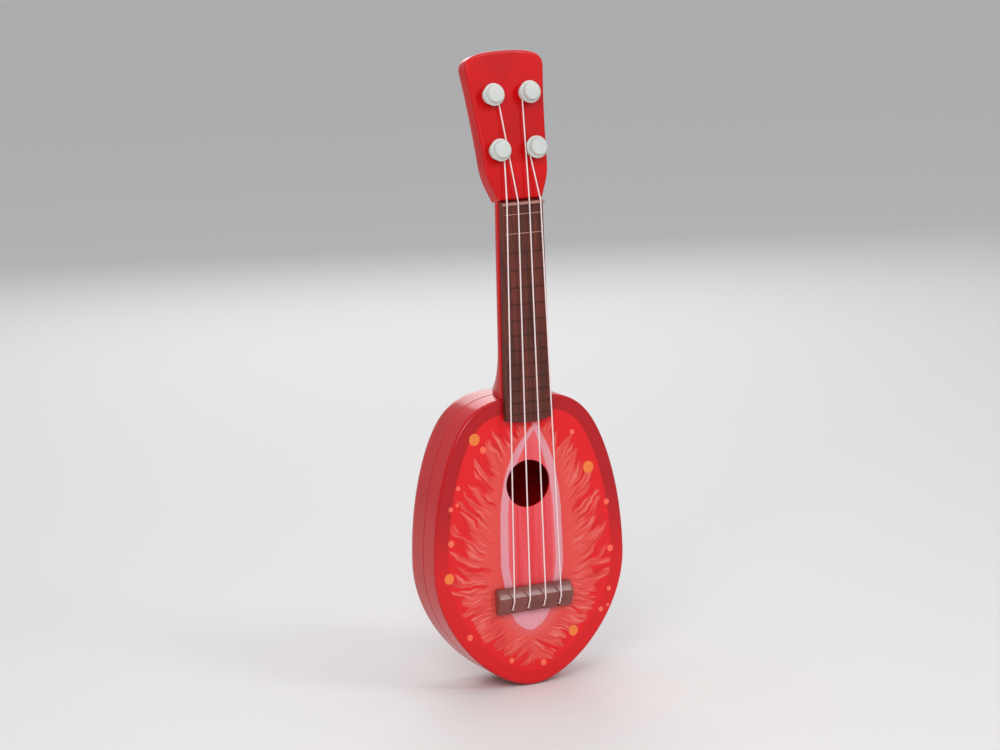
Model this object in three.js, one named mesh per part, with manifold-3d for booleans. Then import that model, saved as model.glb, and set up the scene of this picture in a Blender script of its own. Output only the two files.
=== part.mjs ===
// A four-string toy guitar of the ukulele kind, in millimetres.
// +Z runs up the neck, the face looks towards -Y, and X runs across.
// The origin is below the middle of the whole guitar, level with the lowest point of the body.

import * as THREE from "three";
import { mergeVertices } from "three/addons/utils/BufferGeometryUtils.js";
import Module from "manifold-3d";

const wasm = await Module();
wasm.setup();

// ---------------------------------------------------------------- driving dimensions

const GAP = 0.3;                   // clearance between neighbouring pieces

const BODY = {
  length: 167.5,                   // bottom to the top edge at the neck
  halfWidth: 59.4,
  widestAt: 72,                    // height of the widest place
  depth: 38,
  frontDepth: 16,                  // depth of the front shell, up to the seam
  wall: 2.4,
  frontEdge: 2,                    // rounding of the face's edge
  backEdge: 8,                     // rounding of the back's edge
  shoulderX: 41,                   // a point on the round shoulder
  shoulderDrop: 16,                // that point, below the top edge
  shoulderSlope: 56,               // degrees from level, there
};

const HOLE = { radius: 13.5, belowTop: 50.5 };

const LIP = { width: 1.4, height: 3, root: 4 };

const NECK = {
  length: 110.5,                   // top edge of the body to the nut
  halfWidthNut: 13.4,
  halfWidthBody: 15,
  depth: 13,
  straight: 1.5,                   // depth of its flat sides, before they curve round the back
  seam: 6,                         // depth of the front half
  heelDepth: 29,
  heelLength: 30,
};

const HEAD = {
  tilt: 12,                        // degrees, leaning back
  rise: 2.7,                       // front of the headstock above the body's face, at the nut
  length: 84,                      // along its own front face
  thickness: 11,
  seam: 5.5,
  edge: 1.5,
  waist: 19.4,                     // half width where the flare from the nut ends
  waistAt: 22,
  topHalfWidth: 23.8,
  cornerAt: 73,
};

const FRETBOARD = {
  thickness: 4.2,
  edge: 1.5,                       // rounding of its upper edges
  halfWidthNut: 12.8,
  halfWidthEnd: 14.4,
  overlap: 12.5,                   // how far its lower corners lie below the body's top edge
  bulge: 2.2,                      // how far its lower edge bows down
  fretFirst: 7.2,                  // nut to the first ridge
  fretStep: 10.8,                  // first ridge to the second
  fretShrink: 0.356,               // each step is shorter by this
  frets: 14,
  fretWidth: 0.9,
  fretHeight: 0.5,
  nutWidth: 2,
  nutHeight: 1.6,
  grooveFloor: 0.7,                // floor of the nut's grooves above the board
};

const STRING = {
  radius: 0.4,
  spacingNut: 6.9,
  spacingBridge: 9.8,
  turns: 2,
  turnSteps: 12,
  knot: 1.2,
};

const BRIDGE = {
  halfWidth: 23.2,
  top: 58.8,                       // height of its upper edge
  bottom: 44.1,                    // height of its lower edge
  edge: 3,                         // thickness at both edges
  crest: 7,
  crestAt: 52.3,
  slotWidth: 1.6,
  slotLength: 4.1,
  pocketTop: 51,
  pocketDepth: 2.9,
  pocketFloor: 1.4,                // lower edge to the pocket
  screwX: 17,
  screwAt: 54.6,
  screwReach: 3.7,                 // how far in front of the body's face the screws end
};

const PEG = {
  across: 22.2,                    // spacing across the headstock
  lower: 28.4,                     // distance from the nut, along the headstock
  upper: 59.2,
  post: 2.8,
  base: 5,
  baseHeight: 1.1,
  spool: 4.8,                      // height of the cap's underside above the headstock
  cap: 6.3,
  capHeight: 1.1,
  boss: 5.3,
  bossHeight: 3.3,
  bossRound: 1,                    // rounding of the boss's front edge
  bore: 9,                         // depth of the screw's hole in the post
  washer: 5.4,
  washerHeight: 0.8,
  hub: 4.4,
  hubHeight: 6,
  socket: 3,                       // how far the post reaches into the key
  wingHalfLength: 8.6,
  wingHalfThick: 1.9,
  wingHeight: 7.5,
  wingRound: 0.6,
  screwFloor: 1.2,                 // the post's end to the seat of the key's screw
  screwLength: 7,
};

const SCREW = { head: 2.5, headHeight: 1.7, shank: 1, tip: 1.6 };

const BOSS = {
  front: 3.7,
  back: 4.7,
  recess: 9,                       // depth of the screws' seats below the back
  inset: 12,                       // distance in from the body's edge
  reach: 8,                        // how far the screws go in front of the seam
  pilotFloor: 2,                   // plastic left under the pilot holes
  lower: 24,                       // heights of the three pairs
  middle: 82,
  belowTop: 31.5,
};

const HEEL_SCREWS = { depths: [9.8, 24.5], length: 11 };

const NECK_SCREWS = {
  aboveBody: 28.5,
  belowNut: 30,
  headAlong: 44.6,                 // the third one's place along the headstock
  recess: 2.4,
  floor: 1.2,                      // plastic left in front of the pilot holes
  tipClear: 0.4,
};

const PAST = 10;                   // how far a cutting tool runs past what it cuts

// ---------------------------------------------------------------- derived places

const stringClear = GAP + STRING.radius;
const crestReach = BRIDGE.crest + stringClear + STRING.radius;
const faceY = (crestReach - BODY.depth) / 2;
const seamY = faceY + BODY.frontDepth;
const backY = faceY + BODY.depth;
const nutZ = BODY.length + NECK.length;
const boardEnd = BODY.length - FRETBOARD.overlap;
const holeZ = BODY.length - HOLE.belowTop;
const tilt = THREE.MathUtils.degToRad(HEAD.tilt);

// The headstock's own frame: origin at the nut on its front face, -Y out of that face, +Z along it.
const headFrame = new THREE.Matrix4()
  .makeRotationX(-tilt)
  .setPosition(0, faceY - HEAD.rise, nutZ);

// ---------------------------------------------------------------- solids

// A closed geometry as a solid that can be cut and joined.
function toSolid(geometry) {
  const bare = geometry.clone();
  bare.deleteAttribute("normal");
  bare.deleteAttribute("uv");
  const merged = mergeVertices(bare, 1e-4);
  const corners = merged.index.array;
  const kept = [];
  for (let i = 0; i < corners.length; i += 3) {
    const [a, b, c] = [corners[i], corners[i + 1], corners[i + 2]];
    if (a !== b && b !== c && c !== a) {
      kept.push(a, b, c);
    }
  }
  return new wasm.Manifold(new wasm.Mesh({
    numProp: 3,
    vertProperties: new Float32Array(merged.attributes.position.array),
    triVerts: new Uint32Array(kept),
  }));
}

function toGeometry(solid) {
  const mesh = solid.getMesh();
  const geometry = new THREE.BufferGeometry();
  geometry.setAttribute("position", new THREE.BufferAttribute(mesh.vertProperties, 3));
  geometry.setIndex(new THREE.BufferAttribute(mesh.triVerts, 1));
  geometry.computeVertexNormals();
  return geometry;
}

const join = (...solids) => solids.reduce((whole, next) => whole.add(next));
const cut = (solid, ...tools) => tools.reduce((rest, tool) => rest.subtract(tool), solid);

// An outline drawn in (x, z), as a plate from yFront to yBack. Its edges are rounded by `edge`,
// and the whole outline is drawn in by `inset`.
function plateGeometry(shape, yFront, yBack, { edge = 0, inset = 0, segments = 8 } = {}) {
  const geometry = new THREE.ExtrudeGeometry(shape, {
    depth: yBack - yFront - 2 * edge,
    curveSegments: segments,
    bevelEnabled: true,
    bevelThickness: edge,
    bevelSize: edge,
    bevelOffset: -edge - inset,
    bevelSegments: edge > 0 ? 3 : 0,
  });
  geometry.applyMatrix4(new THREE.Matrix4().makeBasis(
    new THREE.Vector3(1, 0, 0), new THREE.Vector3(0, 0, 1), new THREE.Vector3(0, -1, 0)));
  return geometry.translate(0, yBack - edge, 0);
}

const plate = (...options) => toSolid(plateGeometry(...options));

// A side profile drawn in (y, z), as a bar from -halfWidth to halfWidth.
function barGeometry(shape, halfWidth, segments = 6) {
  const geometry = new THREE.ExtrudeGeometry(shape, {
    depth: 2 * halfWidth,
    curveSegments: segments,
    bevelEnabled: false,
  });
  geometry.applyMatrix4(new THREE.Matrix4().makeBasis(
    new THREE.Vector3(0, 1, 0), new THREE.Vector3(0, 0, 1), new THREE.Vector3(1, 0, 0)));
  return geometry.translate(-halfWidth, 0, 0);
}

const bar = (...options) => toSolid(barGeometry(...options));

// A round rod along Y, from yFront to yBack, its axis through (x, z).
function rodGeometry(radius, yFront, yBack, x = 0, z = 0, sides = 16) {
  return new THREE.CylinderGeometry(radius, radius, yBack - yFront, sides)
    .translate(x, (yFront + yBack) / 2, z);
}

const rod = (...options) => toSolid(rodGeometry(...options));

const box = (width, depth, height, x, y, z) =>
  toSolid(new THREE.BoxGeometry(width, depth, height).translate(x, y, z));

const polygon = (points) => new THREE.Shape(points.map(([a, b]) => new THREE.Vector2(a, b)));

// ---------------------------------------------------------------- the body

// The egg-shaped outline: two round curves on each side of the widest place, and a flat top.
function bodyOutline() {
  const shape = new THREE.Shape();
  const { halfWidth, widestAt, length, shoulderX, shoulderDrop } = BODY;
  const shoulderZ = length - shoulderDrop;
  const slope = THREE.MathUtils.degToRad(BODY.shoulderSlope);
  const along = (distance) => [shoulderX - distance * Math.cos(slope), shoulderZ + distance * Math.sin(slope)];
  const [belowX, belowZ] = along(-17);
  const [aboveX, aboveZ] = along(18.5);
  const bottomPull = 0.405 * halfWidth;
  const sidePull = 0.52 * widestAt;
  const risePull = 0.45 * (shoulderZ - widestAt);
  const topPull = 0.4 * shoulderX;
  shape.moveTo(0, 0);
  shape.bezierCurveTo(bottomPull, 0, halfWidth, widestAt - sidePull, halfWidth, widestAt);
  shape.bezierCurveTo(halfWidth, widestAt + risePull, belowX, belowZ, shoulderX, shoulderZ);
  shape.bezierCurveTo(aboveX, aboveZ, topPull, length, 0, length);
  shape.bezierCurveTo(-topPull, length, -aboveX, aboveZ, -shoulderX, shoulderZ);
  shape.bezierCurveTo(-belowX, belowZ, -halfWidth, widestAt + risePull, -halfWidth, widestAt);
  shape.bezierCurveTo(-halfWidth, widestAt - sidePull, -bottomPull, 0, 0, 0);
  return shape;
}

const outline = bodyOutline();

// Half the width of the body at a height, read off the outline.
function halfWidthAt(height) {
  const side = outline.getPoints(24).filter((point) => point.x >= 0);
  for (let i = 1; i < side.length; i += 1) {
    const [low, high] = [side[i - 1], side[i]];
    if (low.y <= height && high.y >= height && high.y > low.y) {
      return low.x + (high.x - low.x) * (height - low.y) / (high.y - low.y);
    }
  }
  return 0;
}

// Where the six screws of the body go: three pairs, a fixed distance in from the edge.
const bodyScrewPlaces = [BOSS.lower, BOSS.middle, BODY.length - BOSS.belowTop].flatMap((height) => {
  const x = halfWidthAt(height) - BOSS.inset;
  return [[-x, height], [x, height]];
});

const screwHole = SCREW.shank + GAP;
const bridgeScrewPlaces = [[-BRIDGE.screwX, BRIDGE.screwAt], [BRIDGE.screwX, BRIDGE.screwAt]];
const heelHole = (depth) => toSolid(
  new THREE.CylinderGeometry(screwHole, screwHole, 2 * HEEL_SCREWS.length + 2, 12)
    .rotateX(Math.PI / 2)
    .translate(0, faceY + depth, BODY.length));
const room = (yFront, yBack) => box(2 * (BODY.halfWidth + PAST), yBack - yFront, BODY.length + 2 * PAST, 0,
  (yFront + yBack) / 2, BODY.length / 2);

function frontShell() {
  const { wall, frontEdge } = BODY;
  const end = seamY - GAP / 2;
  const tall = plate(outline, faceY, backY, { edge: frontEdge });
  const inside = plate(outline, faceY + wall, backY + PAST, { inset: wall });
  const bosses = bodyScrewPlaces.map(([x, z]) => rod(BOSS.front, faceY + wall - 1, end, x, z));
  const pilots = bodyScrewPlaces.map(([x, z]) =>
    rod(screwHole, faceY + wall + BOSS.pilotFloor, end + 1, x, z, 12));
  const bridgeHoles = bridgeScrewPlaces.map(([x, z]) => rod(screwHole, faceY - 1, faceY + wall + 1, x, z, 12));
  const soundHole = rod(HOLE.radius, faceY - PAST, faceY + PAST, 0, holeZ, 48);
  const shell = join(cut(tall.intersect(room(faceY - PAST, end)), inside), ...bosses);
  return cut(shell, soundHole, ...pilots, ...bridgeHoles, heelHole(HEEL_SCREWS.depths[0]));
}

function backShell() {
  const { wall, backEdge } = BODY;
  const start = seamY + GAP / 2;
  const tall = plate(outline, faceY, backY, { edge: backEdge });
  const inside = plate(outline, faceY - PAST, backY - wall, { edge: backEdge - wall, inset: wall });
  const lipOuter = wall + GAP;
  const lipInner = lipOuter + LIP.width;
  const lipRoot = cut(
    plate(outline, start, start + LIP.root, { inset: wall / 2 }),
    plate(outline, start - 1, start + LIP.root + 1, { inset: lipInner }));
  const lip = cut(
    plate(outline, seamY - LIP.height, start + LIP.root, { inset: lipOuter }),
    plate(outline, seamY - LIP.height - 1, start + LIP.root + 1, { inset: lipInner }));
  const columns = bodyScrewPlaces.map(([x, z]) => rod(BOSS.back, start, backY - wall + 1, x, z));
  const recesses = bodyScrewPlaces.map(([x, z]) =>
    rod(SCREW.head + GAP, backY - BOSS.recess, backY + PAST, x, z));
  const holes = bodyScrewPlaces.map(([x, z]) => rod(screwHole, start - PAST, backY, x, z, 12));
  const shell = join(cut(tall.intersect(room(start, backY + PAST)), inside), lipRoot, lip, ...columns);
  return cut(shell, ...recesses, ...holes, heelHole(HEEL_SCREWS.depths[1]));
}

// ---------------------------------------------------------------- the neck and headstock

// A point of a side profile: `out` in front of the body's face, at height z.
const side = (out, z) => [faceY - out, z];

// The headstock's outline, drawn in its own frame: flared above the nut, wider towards the top.
function headOutline() {
  const { waist, waistAt, topHalfWidth, cornerAt, length } = HEAD;
  const start = NECK.halfWidthNut;
  const shape = new THREE.Shape();
  shape.moveTo(-start, 0);
  shape.lineTo(start, 0);
  shape.bezierCurveTo(start + 2.4, 0.32 * waistAt, waist - 0.4, 0.55 * waistAt, waist, waistAt);
  shape.quadraticCurveTo(waist + 1.2, (waistAt + cornerAt) / 2, topHalfWidth, cornerAt);
  shape.bezierCurveTo(topHalfWidth + 1.2, length - 3, 0.8 * topHalfWidth, length, 0, length);
  shape.bezierCurveTo(-0.8 * topHalfWidth, length, -topHalfWidth - 1.2, length - 3, -topHalfWidth, cornerAt);
  shape.quadraticCurveTo(-waist - 1.2, (waistAt + cornerAt) / 2, -waist, waistAt);
  shape.bezierCurveTo(-waist + 0.4, 0.55 * waistAt, -start - 2.4, 0.32 * waistAt, -start, 0);
  return shape;
}

// A neck section: flat in front, with short straight sides, then half an ellipse.
function neckSection(depth) {
  const { halfWidthBody, straight } = NECK;
  const shape = new THREE.Shape();
  shape.moveTo(halfWidthBody, faceY);
  shape.lineTo(halfWidthBody, faceY + straight);
  shape.absellipse(0, faceY + straight, halfWidthBody, depth - straight, 0, Math.PI, false);
  shape.lineTo(-halfWidthBody, faceY);
  return shape;
}

function wholeNeck() {
  const { depth, heelDepth, heelLength, halfWidthNut, halfWidthBody } = NECK;
  const low = BODY.length - PAST;
  const heelTop = BODY.length + heelLength;
  const fadeTop = 12;              // the shaft fades into the headstock from below the nut to here
  const fadeBelow = 8;
  const sectionSolid = (sectionDepth, top) => toSolid(new THREE.ExtrudeGeometry(neckSection(sectionDepth), {
    depth: top - low,
    curveSegments: 12,
    bevelEnabled: false,
  }).translate(0, 0, low));

  const shaftProfile = polygon([side(0, low), side(0, nutZ), side(-2, nutZ + fadeTop - 2),
    side(1.5 - HEAD.thickness, nutZ + fadeTop)]);
  shaftProfile.quadraticCurveTo(faceY + depth - 0.5, nutZ + 3, faceY + depth, nutZ - fadeBelow);
  shaftProfile.lineTo(faceY + depth, low);
  const shaft = sectionSolid(depth, nutZ + 2 * PAST).intersect(bar(shaftProfile, halfWidthBody + PAST));

  const heelProfile = polygon([side(0, low), side(0, heelTop), side(-depth, heelTop)]);
  heelProfile.quadraticCurveTo(faceY + depth + 1, BODY.length + heelLength / 3,
    faceY + heelDepth, BODY.length + 2);
  heelProfile.lineTo(faceY + heelDepth, low);
  const heel = sectionSolid(heelDepth, heelTop).intersect(bar(heelProfile, halfWidthBody + PAST));

  const taperTop = nutZ + 3 * PAST;
  const taper = plate(polygon([[-halfWidthBody, low], [halfWidthBody, low], [halfWidthNut, nutZ],
    [halfWidthNut, taperTop], [-halfWidthNut, taperTop], [-halfWidthNut, nutZ]]), faceY - PAST, backY + PAST);
  const headSlab = toSolid(
    plateGeometry(headOutline(), 0, HEAD.thickness, { edge: HEAD.edge, segments: 6 }).applyMatrix4(headFrame));
  const pegHoles = pegPlaces.map(([x, along]) => toSolid(
    rodGeometry(PEG.post + GAP, -PAST, HEAD.thickness + PAST, x, along, 18).applyMatrix4(headFrame)));
  const bodyRoom = plate(outline, faceY - PAST, backY + PAST, { inset: -GAP });
  const boardRoom = box(4 * halfWidthBody, 2 * PAST, nutZ - low, 0, faceY - PAST, (nutZ + low) / 2);
  return cut(join(shaft, heel).intersect(taper).add(headSlab), bodyRoom, boardRoom, ...pegHoles);
}

// Everything in front of the seam between the two halves, moved back by `shift`.
function seamRegion(shift) {
  const seamOut = (z) => HEAD.rise - HEAD.seam / Math.cos(tilt) - (z - nutZ) * Math.tan(tilt);
  const meet = nutZ + (HEAD.rise - HEAD.seam / Math.cos(tilt) + NECK.seam) / Math.tan(tilt);
  const top = nutZ + HEAD.length + PAST;
  return bar(polygon([side(2 * PAST, 0), side(-NECK.seam - shift, 0), side(-NECK.seam - shift, meet),
    side(seamOut(top) - shift, top), side(2 * PAST, top)]), BODY.halfWidth);
}

const pegPlaces = [
  [-PEG.across / 2, PEG.upper],
  [PEG.across / 2, PEG.upper],
  [-PEG.across / 2, PEG.lower],
  [PEG.across / 2, PEG.lower],
];

// The screws that clamp the two halves: two in the neck and one in the headstock.
const neckScrewHeights = [BODY.length + NECK_SCREWS.aboveBody, nutZ - NECK_SCREWS.belowNut];
const neckScrewSeat = faceY + NECK.depth - NECK_SCREWS.recess;
const headScrewSeat = HEAD.thickness - NECK_SCREWS.recess;
const tipStart = NECK_SCREWS.floor + NECK_SCREWS.tipClear;

function neckScrewTools() {
  const inNeck = neckScrewHeights.flatMap((z) => [
    rod(screwHole, faceY + NECK_SCREWS.floor, neckScrewSeat + PAST, 0, z, 12),
    rod(SCREW.head + GAP, neckScrewSeat, neckScrewSeat + PAST, 0, z),
  ]);
  const inHead = [
    rodGeometry(screwHole, NECK_SCREWS.floor, headScrewSeat + PAST, 0, NECK_SCREWS.headAlong, 12),
    rodGeometry(SCREW.head + GAP, headScrewSeat, headScrewSeat + PAST, 0, NECK_SCREWS.headAlong),
  ].map((geometry) => toSolid(geometry.applyMatrix4(headFrame)));
  return [...inNeck, ...inHead];
}

const neck = wholeNeck();
const neckFront = () => cut(neck.intersect(seamRegion(0)), ...neckScrewTools());
const neckBack = () => cut(neck, seamRegion(GAP), ...neckScrewTools(), ...HEEL_SCREWS.depths.map(heelHole));

// ---------------------------------------------------------------- the fretboard

const boardTop = GAP + FRETBOARD.thickness;
const stringAtNut = boardTop + FRETBOARD.grooveFloor + stringClear;
const stringX = (spacing, i) => (i - 1.5) * spacing;

function fretboard() {
  const { halfWidthNut, halfWidthEnd, edge, bulge, fretHeight, fretWidth, nutWidth, nutHeight } = FRETBOARD;
  const topZ = nutZ - GAP;
  const shape = new THREE.Shape();
  shape.moveTo(-halfWidthEnd, boardEnd);
  shape.quadraticCurveTo(0, boardEnd - 2 * bulge, halfWidthEnd, boardEnd);
  shape.lineTo(halfWidthNut, topZ);
  shape.lineTo(-halfWidthNut, topZ);
  const deep = plate(shape, faceY - boardTop, faceY + edge, { edge });
  const board = cut(deep, box(4 * halfWidthEnd, PAST, 2 * nutZ, 0, faceY - GAP + PAST / 2, nutZ));
  const halfAt = (z) => halfWidthEnd + (halfWidthNut - halfWidthEnd) * (z - boardEnd) / (topZ - boardEnd);
  const ridges = [];
  let z = nutZ - FRETBOARD.fretFirst;
  let step = FRETBOARD.fretStep;
  while (ridges.length < FRETBOARD.frets && z > boardEnd + fretWidth) {
    ridges.push(box(2 * (halfAt(z) - edge), 2 * fretHeight, fretWidth, 0, faceY - boardTop, z));
    z -= step;
    step -= FRETBOARD.fretShrink;
  }
  const nut = box(2 * halfWidthNut - 0.2, 2 * nutHeight, nutWidth, 0, faceY - boardTop, topZ - nutWidth / 2);
  const groove = 2 * (STRING.radius + GAP);
  const grooves = [0, 1, 2, 3].map((i) => box(groove, 2 * PAST, nutWidth + 2, stringX(STRING.spacingNut, i),
    faceY - boardTop - FRETBOARD.grooveFloor - PAST, topZ - nutWidth / 2));
  return join(board, ...ridges, cut(nut, ...grooves));
}

// ---------------------------------------------------------------- the bridge

// How far the bridge's top stands out of the body's face, at a height on its lower slope.
function lowerSlope(z) {
  const { bottom, edge, crest, crestAt } = BRIDGE;
  return edge + (crest - edge) * (z - bottom) / (crestAt - bottom);
}

function bridge() {
  const { halfWidth, top, bottom, edge, crest, crestAt, slotWidth, slotLength, pocketTop } = BRIDGE;
  const profile = polygon([side(GAP, bottom), side(edge, bottom), side(lowerSlope(crestAt - 2), crestAt - 2)]);
  profile.quadraticCurveTo(faceY - crest - 0.6, crestAt, faceY - crest + 1.2, crestAt + 2.4);
  profile.lineTo(faceY - edge, top);
  profile.lineTo(faceY - GAP, top);
  const block = bar(profile, halfWidth);
  const pocketBottom = bottom + BRIDGE.pocketFloor;
  const pocket = box(2 * halfWidth - 5, 2 * BRIDGE.pocketDepth, pocketTop - pocketBottom, 0, faceY,
    (pocketTop + pocketBottom) / 2);
  const slots = [0, 1, 2, 3].map((i) => box(slotWidth, 3 * PAST, slotLength + PAST,
    stringX(STRING.spacingBridge, i), faceY, bottom + (slotLength - PAST) / 2));
  const pilots = bridgeScrewPlaces.map(([x, z]) =>
    rod(screwHole, faceY - BRIDGE.screwReach - GAP, faceY, x, z, 12));
  return cut(block, pocket, ...slots, ...pilots);
}

// ---------------------------------------------------------------- the strings

// A route through a list of points, with one step of a swept section at each point.
class Route extends THREE.Curve {
  constructor(points) {
    super();
    this.points = points;
  }

  getPoint(t, target = new THREE.Vector3()) {
    const place = t * (this.points.length - 1);
    const i = Math.min(Math.floor(place + 1e-9), this.points.length - 2);
    return target.lerpVectors(this.points[i], this.points[i + 1], place - i);
  }

  getPointAt(t, target) {
    return this.getPoint(t, target);
  }

  getTangentAt(t, target = new THREE.Vector3()) {
    const i = Math.round(t * (this.points.length - 1));
    const before = this.points[Math.max(i - 1, 0)];
    const after = this.points[Math.min(i + 1, this.points.length - 1)];
    return target.subVectors(after, before).normalize();
  }
}

// The stretch of a string at its peg, in the headstock's frame: it meets the post on the side
// nearest the middle of the headstock, then winds round it and climbs towards the cap.
function windings(nutPoint, [pegX, pegAlong]) {
  const radius = PEG.post + stringClear;
  const height = PEG.baseHeight + stringClear;
  const turn = pegX < 0 ? 1 : -1;
  const dx = nutPoint.x - pegX;
  const dz = nutPoint.z - pegAlong;
  const reach = Math.hypot(dx, dz);
  const start = Math.atan2(dz, dx) + turn * Math.acos(radius / reach);
  const pitch = 2 * STRING.radius + GAP;
  const points = [];
  for (let i = 0; i <= STRING.turns * STRING.turnSteps; i += 1) {
    const angle = start + turn * 2 * Math.PI * i / STRING.turnSteps;
    const climb = pitch * i / STRING.turnSteps;
    points.push(new THREE.Vector3(
      pegX + radius * Math.cos(angle), -height - climb, pegAlong + radius * Math.sin(angle)));
  }
  return points;
}

// String number i, from its knot under the bridge to the end of its turns on its peg.
function string(i, peg) {
  const x = stringX(STRING.spacingBridge, i);
  const { bottom, crest, crestAt } = BRIDGE;
  const out = (reach, z) => new THREE.Vector3(x, faceY - reach, z);
  const onSlope = (z) => lowerSlope(z) + stringClear + 0.1;
  const nut = new THREE.Vector3(stringX(STRING.spacingNut, i), faceY - stringAtNut, nutZ - GAP);
  const route = [
    out(1.6, bottom + 4.4),
    out(1.7, bottom + 3.1),
    out(2.5, bottom + 2.3),
    out(3.7, bottom + 2.2),
    out(onSlope(bottom + 3), bottom + 3),
    out(onSlope(crestAt - 2.4), crestAt - 2.4),
    out(crest + stringClear - 0.1, crestAt - 0.9),
    out(crest + stringClear, crestAt + 0.2),
    nut,
  ];
  const nutInHead = nut.clone().applyMatrix4(headFrame.clone().invert());
  const wound = windings(nutInHead, peg).map((point) => point.applyMatrix4(headFrame));
  const section = new THREE.Shape();
  section.absarc(0, 0, STRING.radius, 0, 2 * Math.PI, false);
  const points = [...route, ...wound];
  const cord = new THREE.ExtrudeGeometry(section, {
    steps: points.length - 1,
    curveSegments: 4,
    bevelEnabled: false,
    extrudePath: new Route(points),
  });
  const knot = new THREE.SphereGeometry(STRING.knot, 10, 6)
    .translate(x, faceY - STRING.knot - GAP, bottom + 5);
  return toSolid(cord).add(toSolid(knot));
}

// ---------------------------------------------------------------- the pegs and screws

const lathe = (profile, sides) =>
  new THREE.LatheGeometry(profile.map(([radius, y]) => new THREE.Vector2(radius, y)), sides);

const washerY = HEAD.thickness + GAP;
const keyY = washerY + PEG.washerHeight + GAP;
const postEnd = keyY + PEG.socket;
const keyEnd = keyY + PEG.hubHeight;
const keyScrewSeat = postEnd + PEG.screwFloor;

// A post with its cap, about its own axis: the headstock's front face is at y = 0, the cap at -y.
function pegPost() {
  const { post, base, baseHeight, spool, cap, capHeight, boss, bossHeight, bossRound } = PEG;
  const capFront = -spool - capHeight;
  const profile = [
    [0, capFront - bossHeight],
    [boss - bossRound - 0.2, capFront - bossHeight],
    [boss - 0.2, capFront - bossHeight + bossRound],
    [boss, capFront],
    [cap - 0.4, capFront],
    [cap, capFront + 0.4],
    [cap, -spool],
    [post, -spool],
    [post, -baseHeight],
    [base, -baseHeight],
    [base, -GAP],
    [post, -GAP],
    [post, postEnd],
    [screwHole, postEnd],
    [screwHole, postEnd - PEG.bore],
    [0, postEnd - PEG.bore],
  ];
  return toSolid(lathe(profile, 18));
}

function pegWasher() {
  const { post, washer, washerHeight } = PEG;
  return cut(rod(washer, washerY, washerY + washerHeight), rod(post + GAP, washerY - 1, washerY + PAST));
}

// A wing key: a round hub that takes the post's end, and a wing with rounded ends behind it.
function pegKey() {
  const { post, hub, wingHalfLength, wingHalfThick, wingHeight, wingRound } = PEG;
  const wing = new THREE.Shape();
  wing.moveTo(-hub + 1, keyEnd - 2.5);
  wing.lineTo(hub - 1, keyEnd - 2.5);
  wing.bezierCurveTo(wingHalfLength, keyEnd - 1, wingHalfLength + 1, keyEnd + wingHeight, wingHalfLength - 2.6,
    keyEnd + wingHeight);
  wing.quadraticCurveTo(0, keyEnd + wingHeight - 2.6, -wingHalfLength + 2.6, keyEnd + wingHeight);
  wing.bezierCurveTo(-wingHalfLength - 1, keyEnd + wingHeight, -wingHalfLength, keyEnd - 1, -hub + 1,
    keyEnd - 2.5);
  const blade = new THREE.ExtrudeGeometry(wing, {
    depth: 2 * (wingHalfThick - wingRound),
    curveSegments: 4,
    bevelEnabled: true,
    bevelThickness: wingRound,
    bevelSize: wingRound,
    bevelOffset: -wingRound,
    bevelSegments: 1,
  }).translate(0, 0, wingRound - wingHalfThick);
  blade.applyMatrix4(new THREE.Matrix4().makeBasis(
    new THREE.Vector3(0, 0, 1), new THREE.Vector3(0, 1, 0), new THREE.Vector3(-1, 0, 0)));
  return cut(
    rod(hub, keyY, keyEnd, 0, 0, 18).add(toSolid(blade)),
    rod(post + GAP, keyY - 1, postEnd + GAP, 0, 0, 18),
    rod(screwHole, postEnd, keyEnd + 2 * PAST, 0, 0, 12),
    rod(SCREW.head + GAP, keyScrewSeat, keyEnd + 2 * PAST));
}

// A screw about the Y axis: the underside of its head at y = 0, its tip towards -y.
function screw(length) {
  const { head, headHeight, shank, tip } = SCREW;
  const profile = [
    [0, -length],
    [0.3, -length],
    [shank, -length + tip],
    [shank, 0],
    [head, 0],
    [head, headHeight - 0.8],
    [head - 0.9, headHeight],
    [0, headHeight],
  ];
  return toSolid(lathe(profile, 10));
}

// ---------------------------------------------------------------- materials

const plastic = (color, roughness = 0.28) =>
  new THREE.MeshStandardMaterial({ color, roughness, metalness: 0 });

const MATERIALS = {
  faceRed: plastic(0xe51e24, 0.2),
  red: plastic(0xd8161c),
  brown: plastic(0x64302c, 0.4),
  mauve: plastic(0x8c5c58, 0.25),
  white: plastic(0xdee0dc, 0.35),
  nylon: plastic(0xf3dedd, 0.3),
  fibre: plastic(0x2a2a2c, 0.7),
  steel: new THREE.MeshStandardMaterial({ color: 0xb9bcc0, roughness: 0.35, metalness: 1 }),
};

// ---------------------------------------------------------------- the assembly

const guitar = new THREE.Group();
const headstock = new THREE.Group();
headstock.applyMatrix4(headFrame);
guitar.add(headstock);

function piece(parent, name, solid, material, x = 0, y = 0, z = 0) {
  const mesh = new THREE.Mesh(toGeometry(solid), material);
  mesh.name = name;
  mesh.position.set(x, y, z);
  parent.add(mesh);
  return mesh;
}

piece(guitar, "front_shell", frontShell(), MATERIALS.faceRed);
piece(guitar, "back_shell", backShell(), MATERIALS.red);
piece(guitar, "neck_front", neckFront(), MATERIALS.red);
piece(guitar, "neck_back", neckBack(), MATERIALS.red);
piece(guitar, "fretboard", fretboard(), MATERIALS.brown);
piece(guitar, "bridge", bridge(), MATERIALS.mauve);

// The outer strings go to the lower pegs, the inner two to the upper pegs.
[2, 0, 1, 3].forEach((peg, i) => {
  piece(guitar, `string_${i + 1}`, string(i, pegPlaces[peg]), MATERIALS.nylon);
});

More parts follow.
